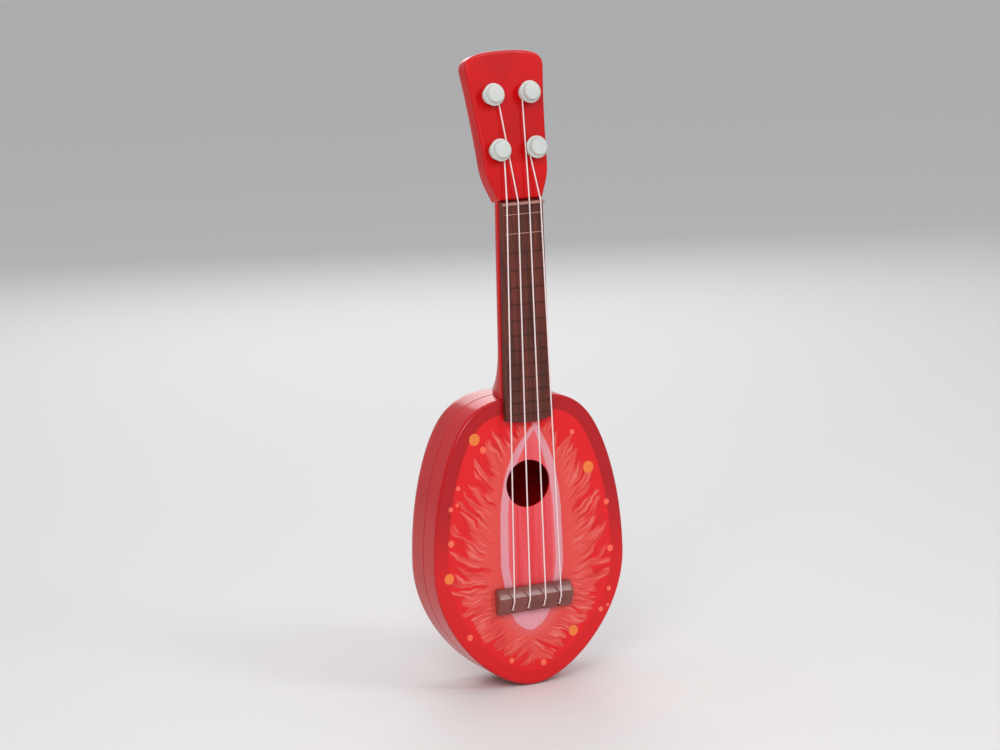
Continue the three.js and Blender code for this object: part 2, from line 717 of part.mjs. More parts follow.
const post = pegPost();
const washer = pegWasher();
const key = pegKey();
const pegScrew = screw(PEG.screwLength);
pegPlaces.forEach(([x, along], i) => {
  const peg = new THREE.Group();
  peg.position.set(x, 0, along);
  headstock.add(peg);
  piece(peg, `peg_post_${i + 1}`, post, MATERIALS.white);
  piece(peg, `peg_washer_${i + 1}`, washer, MATERIALS.fibre);
  piece(peg, `peg_key_${i + 1}`, key, MATERIALS.white);
  piece(peg, `peg_screw_${i + 1}`, pegScrew, MATERIALS.steel, 0, keyScrewSeat + GAP, 0);
});

const bodyScrew = screw(BODY.depth - BODY.frontDepth - BOSS.recess + BOSS.reach);
bodyScrewPlaces.forEach(([x, z], i) => {
  piece(guitar, `body_screw_${i + 1}`, bodyScrew, MATERIALS.steel, x, backY - BOSS.recess + GAP, z);
});

const neckScrew = screw(neckScrewSeat - faceY - tipStart);
neckScrewHeights.forEach((z, i) => {
  piece(guitar, `neck_screw_${i + 1}`, neckScrew, MATERIALS.steel, 0, neckScrewSeat + GAP, z);
});
piece(headstock, "neck_screw_3", screw(headScrewSeat - tipStart), MATERIALS.steel, 0, headScrewSeat + GAP,
  NECK_SCREWS.headAlong);

const heelScrew = screw(HEEL_SCREWS.length);
HEEL_SCREWS.depths.forEach((depth, i) => {
  const mesh = piece(guitar, `heel_screw_${i + 1}`, heelScrew, MATERIALS.steel, 0, faceY + depth,
    BODY.length - BODY.wall - GAP);
  mesh.rotation.x = -Math.PI / 2;
});

const bridgeScrew = screw(BODY.wall + GAP + BRIDGE.screwReach);
bridgeScrewPlaces.forEach(([x, z], i) => {
  piece(guitar, `bridge_screw_${i + 1}`, bridgeScrew, MATERIALS.steel, x, faceY + BODY.wall + GAP, z);
});

export default guitar;
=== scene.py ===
# %% [markdown]
# # A toy guitar, piece by piece
# This lesson dresses a finished plastic toy guitar: a hollow body, a neck, a board with frets, four
# strings and four pegs that turn. The mechanical model is loaded first and never changes. The sizes
# could all be typed in again, but reading the main ones from its boxes keeps every piece where its
# mechanical twin lies. Sizes are in millimetres, and become metres only when a mesh is made.

# %% Load the frame
import math
import bpy
import numpy as np
from mathutils import Matrix, Vector


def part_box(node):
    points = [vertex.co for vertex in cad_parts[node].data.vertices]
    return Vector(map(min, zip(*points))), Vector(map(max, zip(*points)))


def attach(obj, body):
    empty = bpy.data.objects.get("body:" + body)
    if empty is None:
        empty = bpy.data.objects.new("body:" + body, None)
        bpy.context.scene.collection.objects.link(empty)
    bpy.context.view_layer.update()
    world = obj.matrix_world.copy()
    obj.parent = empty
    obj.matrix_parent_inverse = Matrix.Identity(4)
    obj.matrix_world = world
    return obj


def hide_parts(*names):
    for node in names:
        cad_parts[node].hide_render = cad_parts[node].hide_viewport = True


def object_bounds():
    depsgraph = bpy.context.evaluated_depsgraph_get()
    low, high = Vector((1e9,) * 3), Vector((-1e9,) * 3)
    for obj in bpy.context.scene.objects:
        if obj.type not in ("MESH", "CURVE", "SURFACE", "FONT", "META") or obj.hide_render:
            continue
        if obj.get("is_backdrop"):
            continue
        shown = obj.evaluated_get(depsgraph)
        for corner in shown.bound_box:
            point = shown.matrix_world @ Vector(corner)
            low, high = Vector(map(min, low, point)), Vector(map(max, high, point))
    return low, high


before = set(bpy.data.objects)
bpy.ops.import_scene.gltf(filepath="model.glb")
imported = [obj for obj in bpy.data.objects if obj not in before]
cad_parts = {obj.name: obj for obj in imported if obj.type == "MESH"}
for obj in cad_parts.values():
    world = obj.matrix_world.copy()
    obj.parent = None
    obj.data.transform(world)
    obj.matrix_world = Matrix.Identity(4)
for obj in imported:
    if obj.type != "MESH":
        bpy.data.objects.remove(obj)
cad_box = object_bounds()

MM = 0.001
shell_low, shell_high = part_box("front_shell")
back_low, back_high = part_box("back_shell")
board_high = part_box("fretboard")[1]
bridge_low, bridge_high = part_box("bridge")

GAP = 0.3
WALL = 2.4
# The back shell's lip reaches past the seam, so the middle of the two edges is moved back to it.
LIP_SHIFT = 1.425
FACE = shell_low.y / MM
SEAM = (shell_high.y + back_low.y) / 2 / MM + LIP_SHIFT
BACK = back_high.y / MM
BODY_LENGTH = shell_high.z / MM
BODY_HALF = shell_high.x / MM
NUT = board_high.z / MM + GAP
print("face", round(FACE, 2), "seam", round(SEAM, 2), "back", round(BACK, 2), "nut", round(NUT, 2))

# %% [markdown]
# ## Surfaces as grids of numbers
# Nearly every moulding on the toy can be seen as a stack of closed rings of points. Two neighbouring
# rings are joined by a band of quads, and a pole closes each end. Such shapes could be pulled and
# scaled by hand in edit mode. Whole arrays are used here, so that a shape is a formula, can be made
# again at any size, and needs no loop over its corners.

# %% Rings, skins and meshes
def skin(rings, closed=False):
    """Corners and faces of a stack of rings, shaped (rings, points, 3).

    closed: the last ring joins the first, as in a ring doughnut. Otherwise the middle of the first
    and of the last ring becomes a pole, and a fan of triangles closes each end.
    """
    rings = np.asarray(rings, float)
    rows, columns = rings.shape[:2]
    here = np.arange(rows * columns).reshape(rows, columns)
    low, high = (here, np.roll(here, -1, 0)) if closed else (here[:-1], here[1:])
    quads = np.stack([low, np.roll(low, -1, 1), np.roll(high, -1, 1), high], -1).reshape(-1, 4)
    points = rings.reshape(-1, 3)
    faces = quads.tolist()
    if not closed:
        first, last = rows * columns, rows * columns + 1
        points = np.vstack([points, rings[0].mean(0), rings[-1].mean(0)])
        for pole, ring in ((first, here[0][::-1]), (last, here[-1])):
            faces += np.stack([ring, np.roll(ring, -1), np.full(columns, pole)], -1).tolist()
    return outward(points, faces)


def outward(points, faces):
    """Turns every face over when the volume, the sum of a . (b x c) / 6 over triangles, is negative."""
    fans = np.array([(f[0], f[i], f[i + 1]) for f in faces for i in range(1, len(f) - 1)])
    a, b, c = points[fans[:, 0]], points[fans[:, 1]], points[fans[:, 2]]
    if np.einsum("ij,ij->i", a, np.cross(b, c)).sum() < 0:
        faces = [face[::-1] for face in faces]
    return points, faces


def mesh_of(name, parts, sharp=35):
    """One mesh from several closed shapes, in metres, smooth but for edges over `sharp` degrees."""
    points, faces, start = [], [], 0
    for corners, sides in parts:
        points.append(np.asarray(corners) * MM)
        faces += [[i + start for i in side] for side in sides]
        start += len(corners)
    mesh = bpy.data.meshes.new(name)
    mesh.from_pydata(np.vstack(points), [], faces)
    smooth(mesh, sharp)
    return mesh


def smooth(mesh, sharp=35):
    """Smooth shading, with a hard edge wherever two faces meet at more than `sharp` degrees."""
    mesh.polygons.foreach_set("use_smooth", np.ones(len(mesh.polygons), bool))
    mesh.set_sharp_from_angle(angle=math.radians(sharp))
    mesh.update()


print("a stack of 3 rings of 8 points has", len(skin(np.zeros((3, 8, 3)))[1]), "faces")

# %% [markdown]
# ## Pieces and cuts
# On the real toy each moulding is one object in one colour. Here a mesh becomes a piece when it is
# linked into the scene, gets its material, and is told which nodes it stands for and which body
# carries it. Its holes could be modelled face by face. An exact boolean with a closed tool keeps
# them truly round and is easy to change, so the holes and wells are cut that way.

# %% Pieces and exact cuts
def piece(name, mesh, finish, nodes, body="guitar"):
    """A finished piece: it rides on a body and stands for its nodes."""
    made = bpy.data.objects.new(name, mesh)
    bpy.context.scene.collection.objects.link(made)
    made.data.materials.clear()
    made.data.materials.append(finish)
    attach(made, body)
    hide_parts(*nodes)
    print(name, len(mesh.polygons), "faces")
    return made


def carved(mesh, *steps):
    """A mesh after a list of (operation, closed shapes) steps, each an exact boolean."""
    for operation, parts in steps:
        work = bpy.data.objects.new("work", mesh)
        tool = bpy.data.objects.new("tool", mesh_of("tool", parts))
        for thing in (work, tool):
            bpy.context.scene.collection.objects.link(thing)
        change = work.modifiers.new("change", "BOOLEAN")
        change.operation = operation
        change.object = tool
        change.solver = "EXACT"
        graph = bpy.context.evaluated_depsgraph_get()
        mesh = bpy.data.meshes.new_from_object(work.evaluated_get(graph))
        for thing in (work, tool):
            bpy.data.objects.remove(thing)
    smooth(mesh)
    return mesh


# %% [markdown]
# ## Curves and outlines
# Moulded toys have few straight edges. An outline here is a chain of curves up the right side,
# mirrored to the left. Blender's own curve objects could draw it. Arrays are used because an outline
# can then be spaced evenly, which gives calm reflections, and drawn in to make a rounded edge.

# %% Curves and outlines
def bezier(a, b, c, d, count=40):
    """(1-t)^3 a + 3 (1-t)^2 t b + 3 (1-t) t^2 c + t^3 d, for t from 0 up to 1, with 1 left out."""
    t = np.linspace(0, 1, count, endpoint=False)[:, None]
    a, b, c, d = (np.array(p, float) for p in (a, b, c, d))
    return (1 - t) ** 3 * a + 3 * (1 - t) ** 2 * t * b + 3 * (1 - t) * t ** 2 * c + t ** 3 * d


def even(points, count):
    """The same closed outline with its points an equal length apart."""
    loop = np.vstack([points, points[:1]])
    length = np.concatenate([[0], np.cumsum(np.linalg.norm(np.diff(loop, axis=0), axis=1))])
    at = np.linspace(0, length[-1], count, endpoint=False)
    return np.stack([np.interp(at, length, loop[:, k]) for k in range(loop.shape[1])], -1)


def drawn_in(outline, inset):
    """Each point moved inwards by `inset` along the outline's normal, (tz, -tx) from its tangent."""
    tangent = np.roll(outline, -1, 0) - np.roll(outline, 1, 0)
    tangent /= np.linalg.norm(tangent, axis=1)[:, None]
    return outline - inset * np.stack([tangent[:, 1], -tangent[:, 0]], -1)


def upright(outline, y):
    """An (x, z) outline as a ring at depth y."""
    return np.stack([outline[:, 0], np.full(len(outline), y), outline[:, 1]], -1)


def mirrored(right_side):
    """A closed outline from its right side, given from the bottom middle up to the top middle."""
    left = right_side[::-1] * [-1, 1]
    return np.vstack([right_side, left[1:] if abs(left[0, 0]) < 1e-9 else left])


def turn(start, end, count):
    """Angles in radians from start to end degrees."""
    return np.radians(np.linspace(start, end, count))


print("a curve from corner to corner starts at", bezier((0, 0), (1, 0), (1, 1), (2, 1))[0])

# %% [markdown]
# ## Plates, turned shapes and tubes
# The toy's plates have rolled edges, its pegs and screws are turned shapes, and its strings are
# tubes. A bevel modifier on simple solids would give much the same. Carrying a profile round an
# axis or along a path does it in one step, with exactly the rounding that is asked for.

# %% Plates, turned shapes and tubes
def plate(outline, front, back, front_edge=0.5, back_edge=0.5, steps=5, inward=drawn_in):
    """A flat plate between two depths. Each edge is a quarter circle: inset r (1 - sin a) at depth
    r (1 - cos a). A ring just inside each edge keeps the flat side's shading flat."""
    rings = [upright(inward(outline, front_edge + 0.25), front)]
    for a in turn(0, 90, steps):
        depth = front + front_edge * (1 - math.cos(a))
        rings.append(upright(inward(outline, front_edge * (1 - math.sin(a))), depth))
    for a in turn(0, 90, steps):
        depth = back - back_edge * (1 - math.sin(a))
        rings.append(upright(inward(outline, back_edge * (1 - math.cos(a))), depth))
    rings += [upright(inward(outline, back_edge + 0.25), back)]
    return skin(rings)


def lathe(profile, sides=48):
    """A profile of (radius, y) turned about the Y axis: (r sin u, y, r cos u)."""
    u = np.linspace(0, 2 * math.pi, sides, endpoint=False)
    profile = np.asarray(profile, float)
    inner = profile[profile[:, 0] > 1e-6]
    rings = [np.stack([r * np.sin(u), np.full(sides, y), r * np.cos(u)], -1) for r, y in inner]
    return skin(rings)


def moved(shape, x, z):
    """A shape moved across and up, in the plane of the face."""
    points, faces = shape
    return points + np.array([x, 0, z]), faces


def placed(shape, matrix):
    """A shape carried by a 4 x 4 matrix."""
    points, faces = shape
    return points @ matrix[:3, :3].T + matrix[:3, 3], faces


print("a turned disc has", len(lathe([(1, 0), (1, 1)])[1]), "faces")

# %% [markdown]
# ## Rounded profiles and tubes
# The corners of a moulded part are never quite sharp, so a profile is drawn with a few corners and
# each is replaced by a small bend. A tube also needs a side direction at every point of its path.
# Blender's curve objects find one by themselves. Here it is carried along, so that it never twists.

# %% Rounded profiles and tubes
def rounded(corners, radius=0.3, steps=4):
    """A profile of straight lines with each inner corner replaced by a small quadratic bend."""
    corners = np.asarray(corners, float)
    made = [corners[0]]
    t = np.linspace(0, 1, steps)[:, None]

    def towards(corner, other):
        way = other - corner
        return corner + way * min(radius / max(np.linalg.norm(way), 1e-9), 0.5)

    for before, corner, after in zip(corners[:-2], corners[1:-1], corners[2:]):
        start, end = towards(corner, before), towards(corner, after)
        made.extend((1 - t) ** 2 * start + 2 * t * (1 - t) * corner + t ** 2 * end)
    return np.vstack(made + [corners[-1]])


def tube(path, radius, sides=10):
    """A round tube along a path. Its frame is carried along: at each point the old side vector loses
    its part along the new tangent and is made a unit again."""
    path = np.asarray(path, float)
    tangent = np.gradient(path, axis=0)
    tangent /= np.linalg.norm(tangent, axis=1)[:, None]
    u = np.linspace(0, 2 * math.pi, sides, endpoint=False)
    side = np.cross(tangent[0], [0.3, 0.5, 0.81])
    rings = []
    for point, ahead in zip(path, tangent):
        side = side - ahead * (side @ ahead)
        side /= np.linalg.norm(side)
        across = np.cross(ahead, side)
        rings.append(point + radius * (np.cos(u)[:, None] * side + np.sin(u)[:, None] * across))
    return skin(rings)


print("a corner bent at both sides has", len(rounded([(0, 0), (1, 0), (1, 1)])), "points")

# %% [markdown]
# ## Finishes as expressions
# Moulded toy plastic is never one flat colour: the gloss wavers a little, the pigment drifts, and a
# printed picture sits on top. Each finish is one shader whose colour and gloss come from the
# piece's own coordinates. The nodes could be wired by hand in the shader editor. A small class is
# used instead, so that the maths of a finish can be read as an ordinary expression.

# %% Arithmetic on wires
class Wire:
    """A socket in a material. Arithmetic on wires adds Math nodes."""

    def __init__(self, finish, socket):
        self.finish = finish
        self.socket = socket

    def maths(self, operation, *others, first=None):
        """A Math node that is fed with `first`, or else with this wire, and then with the others."""
        values = [self if first is None else first, *others]
        return self.finish.node("Math", {"operation": operation}, values)

    def __add__(self, other):
        return self.maths("ADD", other)

    def __sub__(self, other):
        return self.maths("SUBTRACT", other)

    def __rsub__(self, other):
        return self.maths("SUBTRACT", self, first=other)

    def __mul__(self, other):
        return self.maths("MULTIPLY", other)

    def __truediv__(self, other):
        return self.maths("DIVIDE", other)

    def __pow__(self, other):
        return self.maths("POWER", other)

    def root(self):
        return self.maths("SQRT")

    def size(self):
        return self.maths("ABSOLUTE")

    def least(self, other):
        return self.maths("MINIMUM", other)

    def most(self, other):
        return self.maths("MAXIMUM", other)

    def fade(self, start, end):
        """0 at start and 1 at end, smoothly; start may be above end."""
        if start > end:
            return 1 - self.fade(end, start)
        settings = {"interpolation_type": "SMOOTHSTEP"}
        return self.finish.node("MapRange", settings, [self, start, end, 0.0, 1.0])

    __radd__ = __add__
    __rmul__ = __mul__


print("wires can be added, subtracted, multiplied, divided and raised to a power")

# %% [markdown]
# ## One material and its nodes
# A finish holds one material with the principled shader, which serves for plastic and metal alike.
# One could pick a ready material and alter it. Starting from the bare shader keeps each finish down
# to the few lines that say how it differs from plain plastic.

# %% Finishes and colours
class Finish:
    """One material with a principled shader, and a way to add nodes to it."""

    def __init__(self, name, roughness, **constants):
        self.material = bpy.data.materials.new(name)
        self.material.use_nodes = True
        self.tree = self.material.node_tree
        self.shader = self.tree.nodes["Principled BSDF"]
        self.shader.inputs["Roughness"].default_value = roughness
        for socket, value in constants.items():
            self.shader.inputs[socket.replace("_", " ")].default_value = value
        self.place = self.node("TexCoord", {}, [], "Object")

    def node(self, kind, settings, values, output=0):
        """A node of a type, with its settings made first and then its sockets filled in order."""
        made = self.tree.nodes.new("ShaderNode" + kind)
        for key, value in settings.items():
            setattr(made, key, value)
        pairs = values.items() if isinstance(values, dict) else enumerate(values)
        for key, value in pairs:
            self.put(made.inputs[key], value)
        return Wire(self, made.outputs[output])

    def put(self, socket, value):
        """Links a wire to a socket, or sets the socket to a plain value."""
        if isinstance(value, Wire):
            self.tree.links.new(value.socket, socket)
        else:
            socket.default_value = value

    def give(self, socket, value):
        """Feeds one input of the shader."""
        self.put(self.shader.inputs[socket], value)

    def split(self, vector):
        """The three parts of a vector in metres, as millimetres."""
        made = self.tree.nodes.new("ShaderNodeSeparateXYZ")
        self.put(made.inputs[0], vector)
        return [Wire(self, out) * (1 / MM) for out in made.outputs]

    def joined(self, x, y, z):
        """One vector from three parts."""
        return self.node("CombineXYZ", {}, [x, y, z])

    def noise(self, vector, scale, detail=3.0, roughness=0.5):
        """Soft random clouds between 0 and 1; a larger scale makes them smaller."""
        return self.node("TexNoise", {}, {"Vector": vector, "Scale": scale, "Detail": detail,
                                          "Roughness": roughness})

    def blend(self, mask, below, above):
        """The colour `below` where the mask is 0 and `above` where it is 1."""
        made = self.tree.nodes.new("ShaderNodeMix")
        made.data_type = "RGBA"
        self.put(made.inputs["Factor"], mask)
        for socket, colour in zip([s for s in made.inputs if s.type == "RGBA"], (below, above)):
            self.put(socket, colour)
        return Wire(self, next(s for s in made.outputs if s.type == "RGBA"))

    def bump(self, height, strength, distance):
        """Makes the surface look raised where `height` is large, by up to a distance in millimetres."""
        self.give("Normal", self.node("Bump", {}, {"Strength": strength, "Distance": distance * MM,
                                                   "Height": height}))


def colour(red, green, blue):
    """A display colour of 0 to 255 as the linear values that shaders use."""
    display = np.array([red, green, blue]) / 255
    linear = np.where(display <= 0.04045, display / 12.92, ((display + 0.055) / 1.055) ** 2.4)
    return (*(float(v) for v in linear), 1.0)


print("a middle grey of 128 is", round(colour(128, 128, 128)[0], 3), "in a shader")

# %% [markdown]
# ## Plain moulded plastics
# The neck and the back are glossy red, the pegs off-white, the washers black and the strings milky
# nylon. Each could be one flat colour with one roughness, and would then look like a drawing. A slow
# noise lets the colour drift and a finer one wavers the gloss, as on real mouldings. One function
# makes all five, because they differ only in hue, gloss and grain.

# %% Red, white, black and milky plastics
def moulded(name, main, drift, roughness, ripple=0.02, **constants):
    """Plastic whose colour drifts between two shades and whose gloss and skin waver slightly."""
    finish = Finish(name, roughness, **constants)
    cloud = finish.noise(finish.place, 38.0, 3.0)
    finish.give("Base Color", finish.blend(cloud.fade(0.35, 0.7), main, drift))
    grain = finish.noise(finish.place, 900.0, 2.0)
    finish.give("Roughness", roughness + (grain - 0.5) * 0.12 + (cloud - 0.5) * 0.08)
    finish.bump(finish.noise(finish.place, 160.0, 2.0) + grain * 0.3, 0.25, ripple)
    return finish.material


NECK_RED = moulded("neck_red", colour(206, 8, 14), colour(188, 6, 11), 0.24, Specular_IOR_Level=0.3)
BODY_RED = moulded("body_red", colour(196, 10, 16), colour(182, 7, 12), 0.24, Specular_IOR_Level=0.4)
PEG_WHITE = moulded("peg_white", colour(204, 207, 202), colour(194, 198, 193), 0.36, 0.015)
WASHER_BLACK = moulded("washer_black", colour(34, 34, 36), colour(48, 47, 47), 0.65, 0.03)
NYLON = moulded("nylon", colour(246, 226, 224), colour(240, 216, 214), 0.25, 0.005)
print("each plain plastic has", len(NECK_RED.node_tree.nodes), "nodes")

# %% [markdown]
# ## Zinc plate
# The screws are plated steel, so their finish is a metal with an uneven, rather dull gloss. An image
# of scratched metal could be laid on them. Two noises, one for patches and one for scratches, are
# enough on a head 5 mm wide.

# %% Zinc-plated steel
def zinc_plate():
    """Zinc-plated steel: greyish metal with fine drawn scratches and duller patches."""
    finish = Finish("screw_steel", 0.34, Metallic=1.0)
    patch = finish.noise(finish.place, 420.0, 4.0)
    tone = finish.blend(patch.fade(0.3, 0.75), colour(196, 198, 202), colour(160, 160, 158))
    finish.give("Base Color", tone)
    finish.give("Roughness", 0.26 + patch * 0.22)
    finish.bump(finish.noise(finish.place, 2400.0, 2.0), 0.3, 0.01)
    return finish.material


STEEL = zinc_plate()
print("the steel has", len(STEEL.node_tree.nodes), "nodes")

# %% [markdown]
# ## The bridge's plastic
# The bridge is moulded in mauve-brown plastic with a pearly speckle in it. Real flakes could be
# scattered as tiny meshes, at a great cost. A very fine noise mixes lighter specks into the colour
# instead, as painted glints that show under any lamp, and a thin clear coat adds the sharp gleam on the
# crest.

# %% Pearly mauve plastic
def bridge_plastic():
    """Mauve-brown plastic with a fine pearly speckle, whose lighter specks are painted glints in the
    colour.
    """
    finish = Finish("bridge_mauve", 0.3, Specular_IOR_Level=0.35, Coat_Weight=0.2, Coat_Roughness=0.12)
    speckle_and_glint = finish.noise(finish.place, 1500.0, 2.0)
    cloud = finish.noise(finish.place, 90.0, 3.0)
    base = finish.blend(cloud.fade(0.3, 0.7), colour(134, 72, 66), colour(114, 58, 53))
    # Painted glints: lighter specks mixed into the colour, the same under every lamp.
    finish.give("Base Color", finish.blend(speckle_and_glint.fade(0.58, 0.75) * 0.12, base, colour(180, 128, 120)))
    finish.give("Roughness", 0.24 + (speckle_and_glint - 0.5) * 0.3)
    finish.bump(speckle_and_glint + cloud * 0.5, 0.3, 0.02)
    return finish.material


BRIDGE_MAUVE = bridge_plastic()
print("the bridge's plastic has", len(BRIDGE_MAUVE.node_tree.nodes), "nodes")

# %% [markdown]
# ## The board's plastic
# The board is brown plastic printed like wood. A picture of wood could be wrapped round it, but a
# noise that is stretched along the neck follows the board at any size. What is raised, the frets and
# the nut, takes painted light by its height: a painted highlight on the nut and the frets next to it,
# and painted shade on the frets further down, so it needs no material of its own.

# %% Brown plastic with a grain
BOARD_TOP = 4.5


def board_brown():
    """Brown plastic printed like wood: long streaks up the neck and finer pores. The frets are painted
    darker than the board as painted shade, apart from the nut and the frets next to it, which are
    painted pale as a painted highlight."""
    finish = Finish("board_brown", 0.42, Specular_IOR_Level=0.3)
    x, y, z = finish.split(finish.place)
    streak = finish.noise(finish.joined(x * 0.55, y * 0.3, z * 0.02), 1.0, 4.0, 0.6)
    pore = finish.noise(finish.joined(x * 3.2, y, z * 0.11), 1.0, 3.0, 0.7)
    wood = finish.blend(streak.fade(0.36, 0.64), colour(76, 40, 31), colour(114, 50, 41))
    wood = finish.blend(pore.fade(0.55, 0.72) * 0.6, wood, colour(66, 34, 28))
    raised = (FACE - BOARD_TOP - 0.12 - y).fade(0.0, 0.35)
    # Painted light on the frets and the nut: painted shade low down the neck, a painted highlight near the
    # nut.
    fret_shade_and_highlight = finish.blend(z.fade(NUT - 28, NUT - 21), colour(44, 24, 22), colour(188, 136, 126))
    finish.give("Base Color", finish.blend(raised * 0.75, wood, fret_shade_and_highlight))
    finish.give("Roughness", 0.36 + streak * 0.14 + pore * 0.08)
    finish.bump(pore * 0.7 + streak * 0.5, 0.35, 0.05)
    return finish.material


BOARD_BROWN = board_brown()
print("the board's plastic has", len(BOARD_BROWN.node_tree.nodes), "nodes")

# %% [markdown]
# ## The printed strawberry slice
# The face carries a picture: a bright red flesh, a darker skin round the edge, a pale almond-shaped
# core line under the strings, brushed strokes that run outwards from it, and round orange seeds.
# The skin follows the body's edge, so the mesh stores how far each point is from it. Everything
# else is drawn from the object's own x and z, in millimetres. The picture could be painted as an
# image; formulas are used because they stay sharp however near the camera comes. The first two give
# the distance from the core's line and the direction of the strokes.

# %% The core's line and the strokes
CORE_HALF, CORE_LOW, CORE_WIDE, CORE_TOP = 17.0, 35.2, 74.0, 150.0
LEVEL_AT, TOP_ANGLE_AT = 56.0, 136.0
BIG_SEEDS = [(-32.5, 146, 3.4), (38, 122, 3.4), (-51, 68.5, 3.0), (25.5, 28, 3.0)]
SMALL_SEEDS = [(-27.5, 139.5, 1.9), (28.5, 143.5, 1.5), (-43.5, 119.5, 1.3), (-44.5, 110, 1.1),
               (-48.5, 108, 1.4), (49, 100.5, 1.7), (-49, 88.5, 1.9), (50.5, 73, 1.9),
               (-39.5, 33, 1.8), (49, 49.5, 1.4), (48, 40, 1.0), (43.5, 38, 1.5), (-14, 16, 1.6),
               (6, 12, 1.8)]


def almond(x, z):
    """Distance from the core's line, less than 0 inside, and how far up its rise a point is.

    Above the widest place the half width is w (1 - r^3.4), and the gap in x is divided by
    sqrt(1 + slope^2). Below it the line is (x / w)^2 + f^1.6 = 1, and the distance is that
    formula's value over the length of its gradient. The two are faded into each other. The middle
    lies 0.9 mm right of the body's, leans 4.5 mm more at the tip and 1.8 mm back at the foot.
    """
    def rise(height):
        """How far up from the widest place to the tip, from 0 to 1."""
        return ((height - CORE_WIDE) / (CORE_TOP - CORE_WIDE)).most(0.0).least(1.0)

    def half(height):
        """The upper line's half width, w (1 - r^3.4)."""
        return CORE_HALF * (1 - rise(height) ** 3.4)

    slope = ((half(z + 0.4) - half(z - 0.4)) / 0.8).size().least(3.0)
    across = (x - 0.9 - rise(z) ** 4.5 * 4.5 + z.fade(56.0, 46.0) * 1.8).size()
    upper = ((across - half(z)) / (slope * slope + 1).root()).most(z - CORE_TOP)
    fall = ((CORE_WIDE - z) / (CORE_WIDE - CORE_LOW)).most(0.001)
    run = across * (2 / CORE_HALF ** 2)
    drop = fall ** 0.6 * (1.6 / (CORE_WIDE - CORE_LOW))
    steep = (run * run + drop * drop).root().most(0.05)
    lower = (across * across * (1 / CORE_HALF ** 2) + fall ** 1.6 - 1) / steep
    low = z.fade(CORE_WIDE + 1.5, CORE_WIDE - 1.5)
    return upper * (1 - low) + lower * low, rise(z)


def stroke_lines(x, z):
    """A number that stays the same along a stroke: V(z) - (|x| - 36) sin a, with V' near cos a.

    The angle a is level at the bridge and climbs to about 60 degrees near the top:
    sin a = 0.95 h / sqrt(h^2 + k^2), with h from 0 at the bridge to 1 near the top and k^2 = 0.22.
    V = z - 44 (h - k atan(h / k)), whose slope falls from 1 at the bridge as cos a does.
    """
    h = (z - LEVEL_AT) / (TOP_ANGLE_AT - LEVEL_AT)
    climb = 0.95 * h / (h * h + 0.22).root()
    return z - (h - 0.469 * (h / 0.469).maths("ARCTANGENT")) * 44.0 - (x.size() - 36.0) * climb


print("the picture has", len(BIG_SEEDS) + len(SMALL_SEEDS), "seeds")

# %% [markdown]
# ## Laying the picture together
# A printing works lays one ink over another, and the finish does the same: each shape is a soft mask
# from 0 to 1, and each mask blends one more colour over what is there. Separate thin meshes for the
# seeds and strokes would be another way, but their edges would catch the light, and a print is flat.

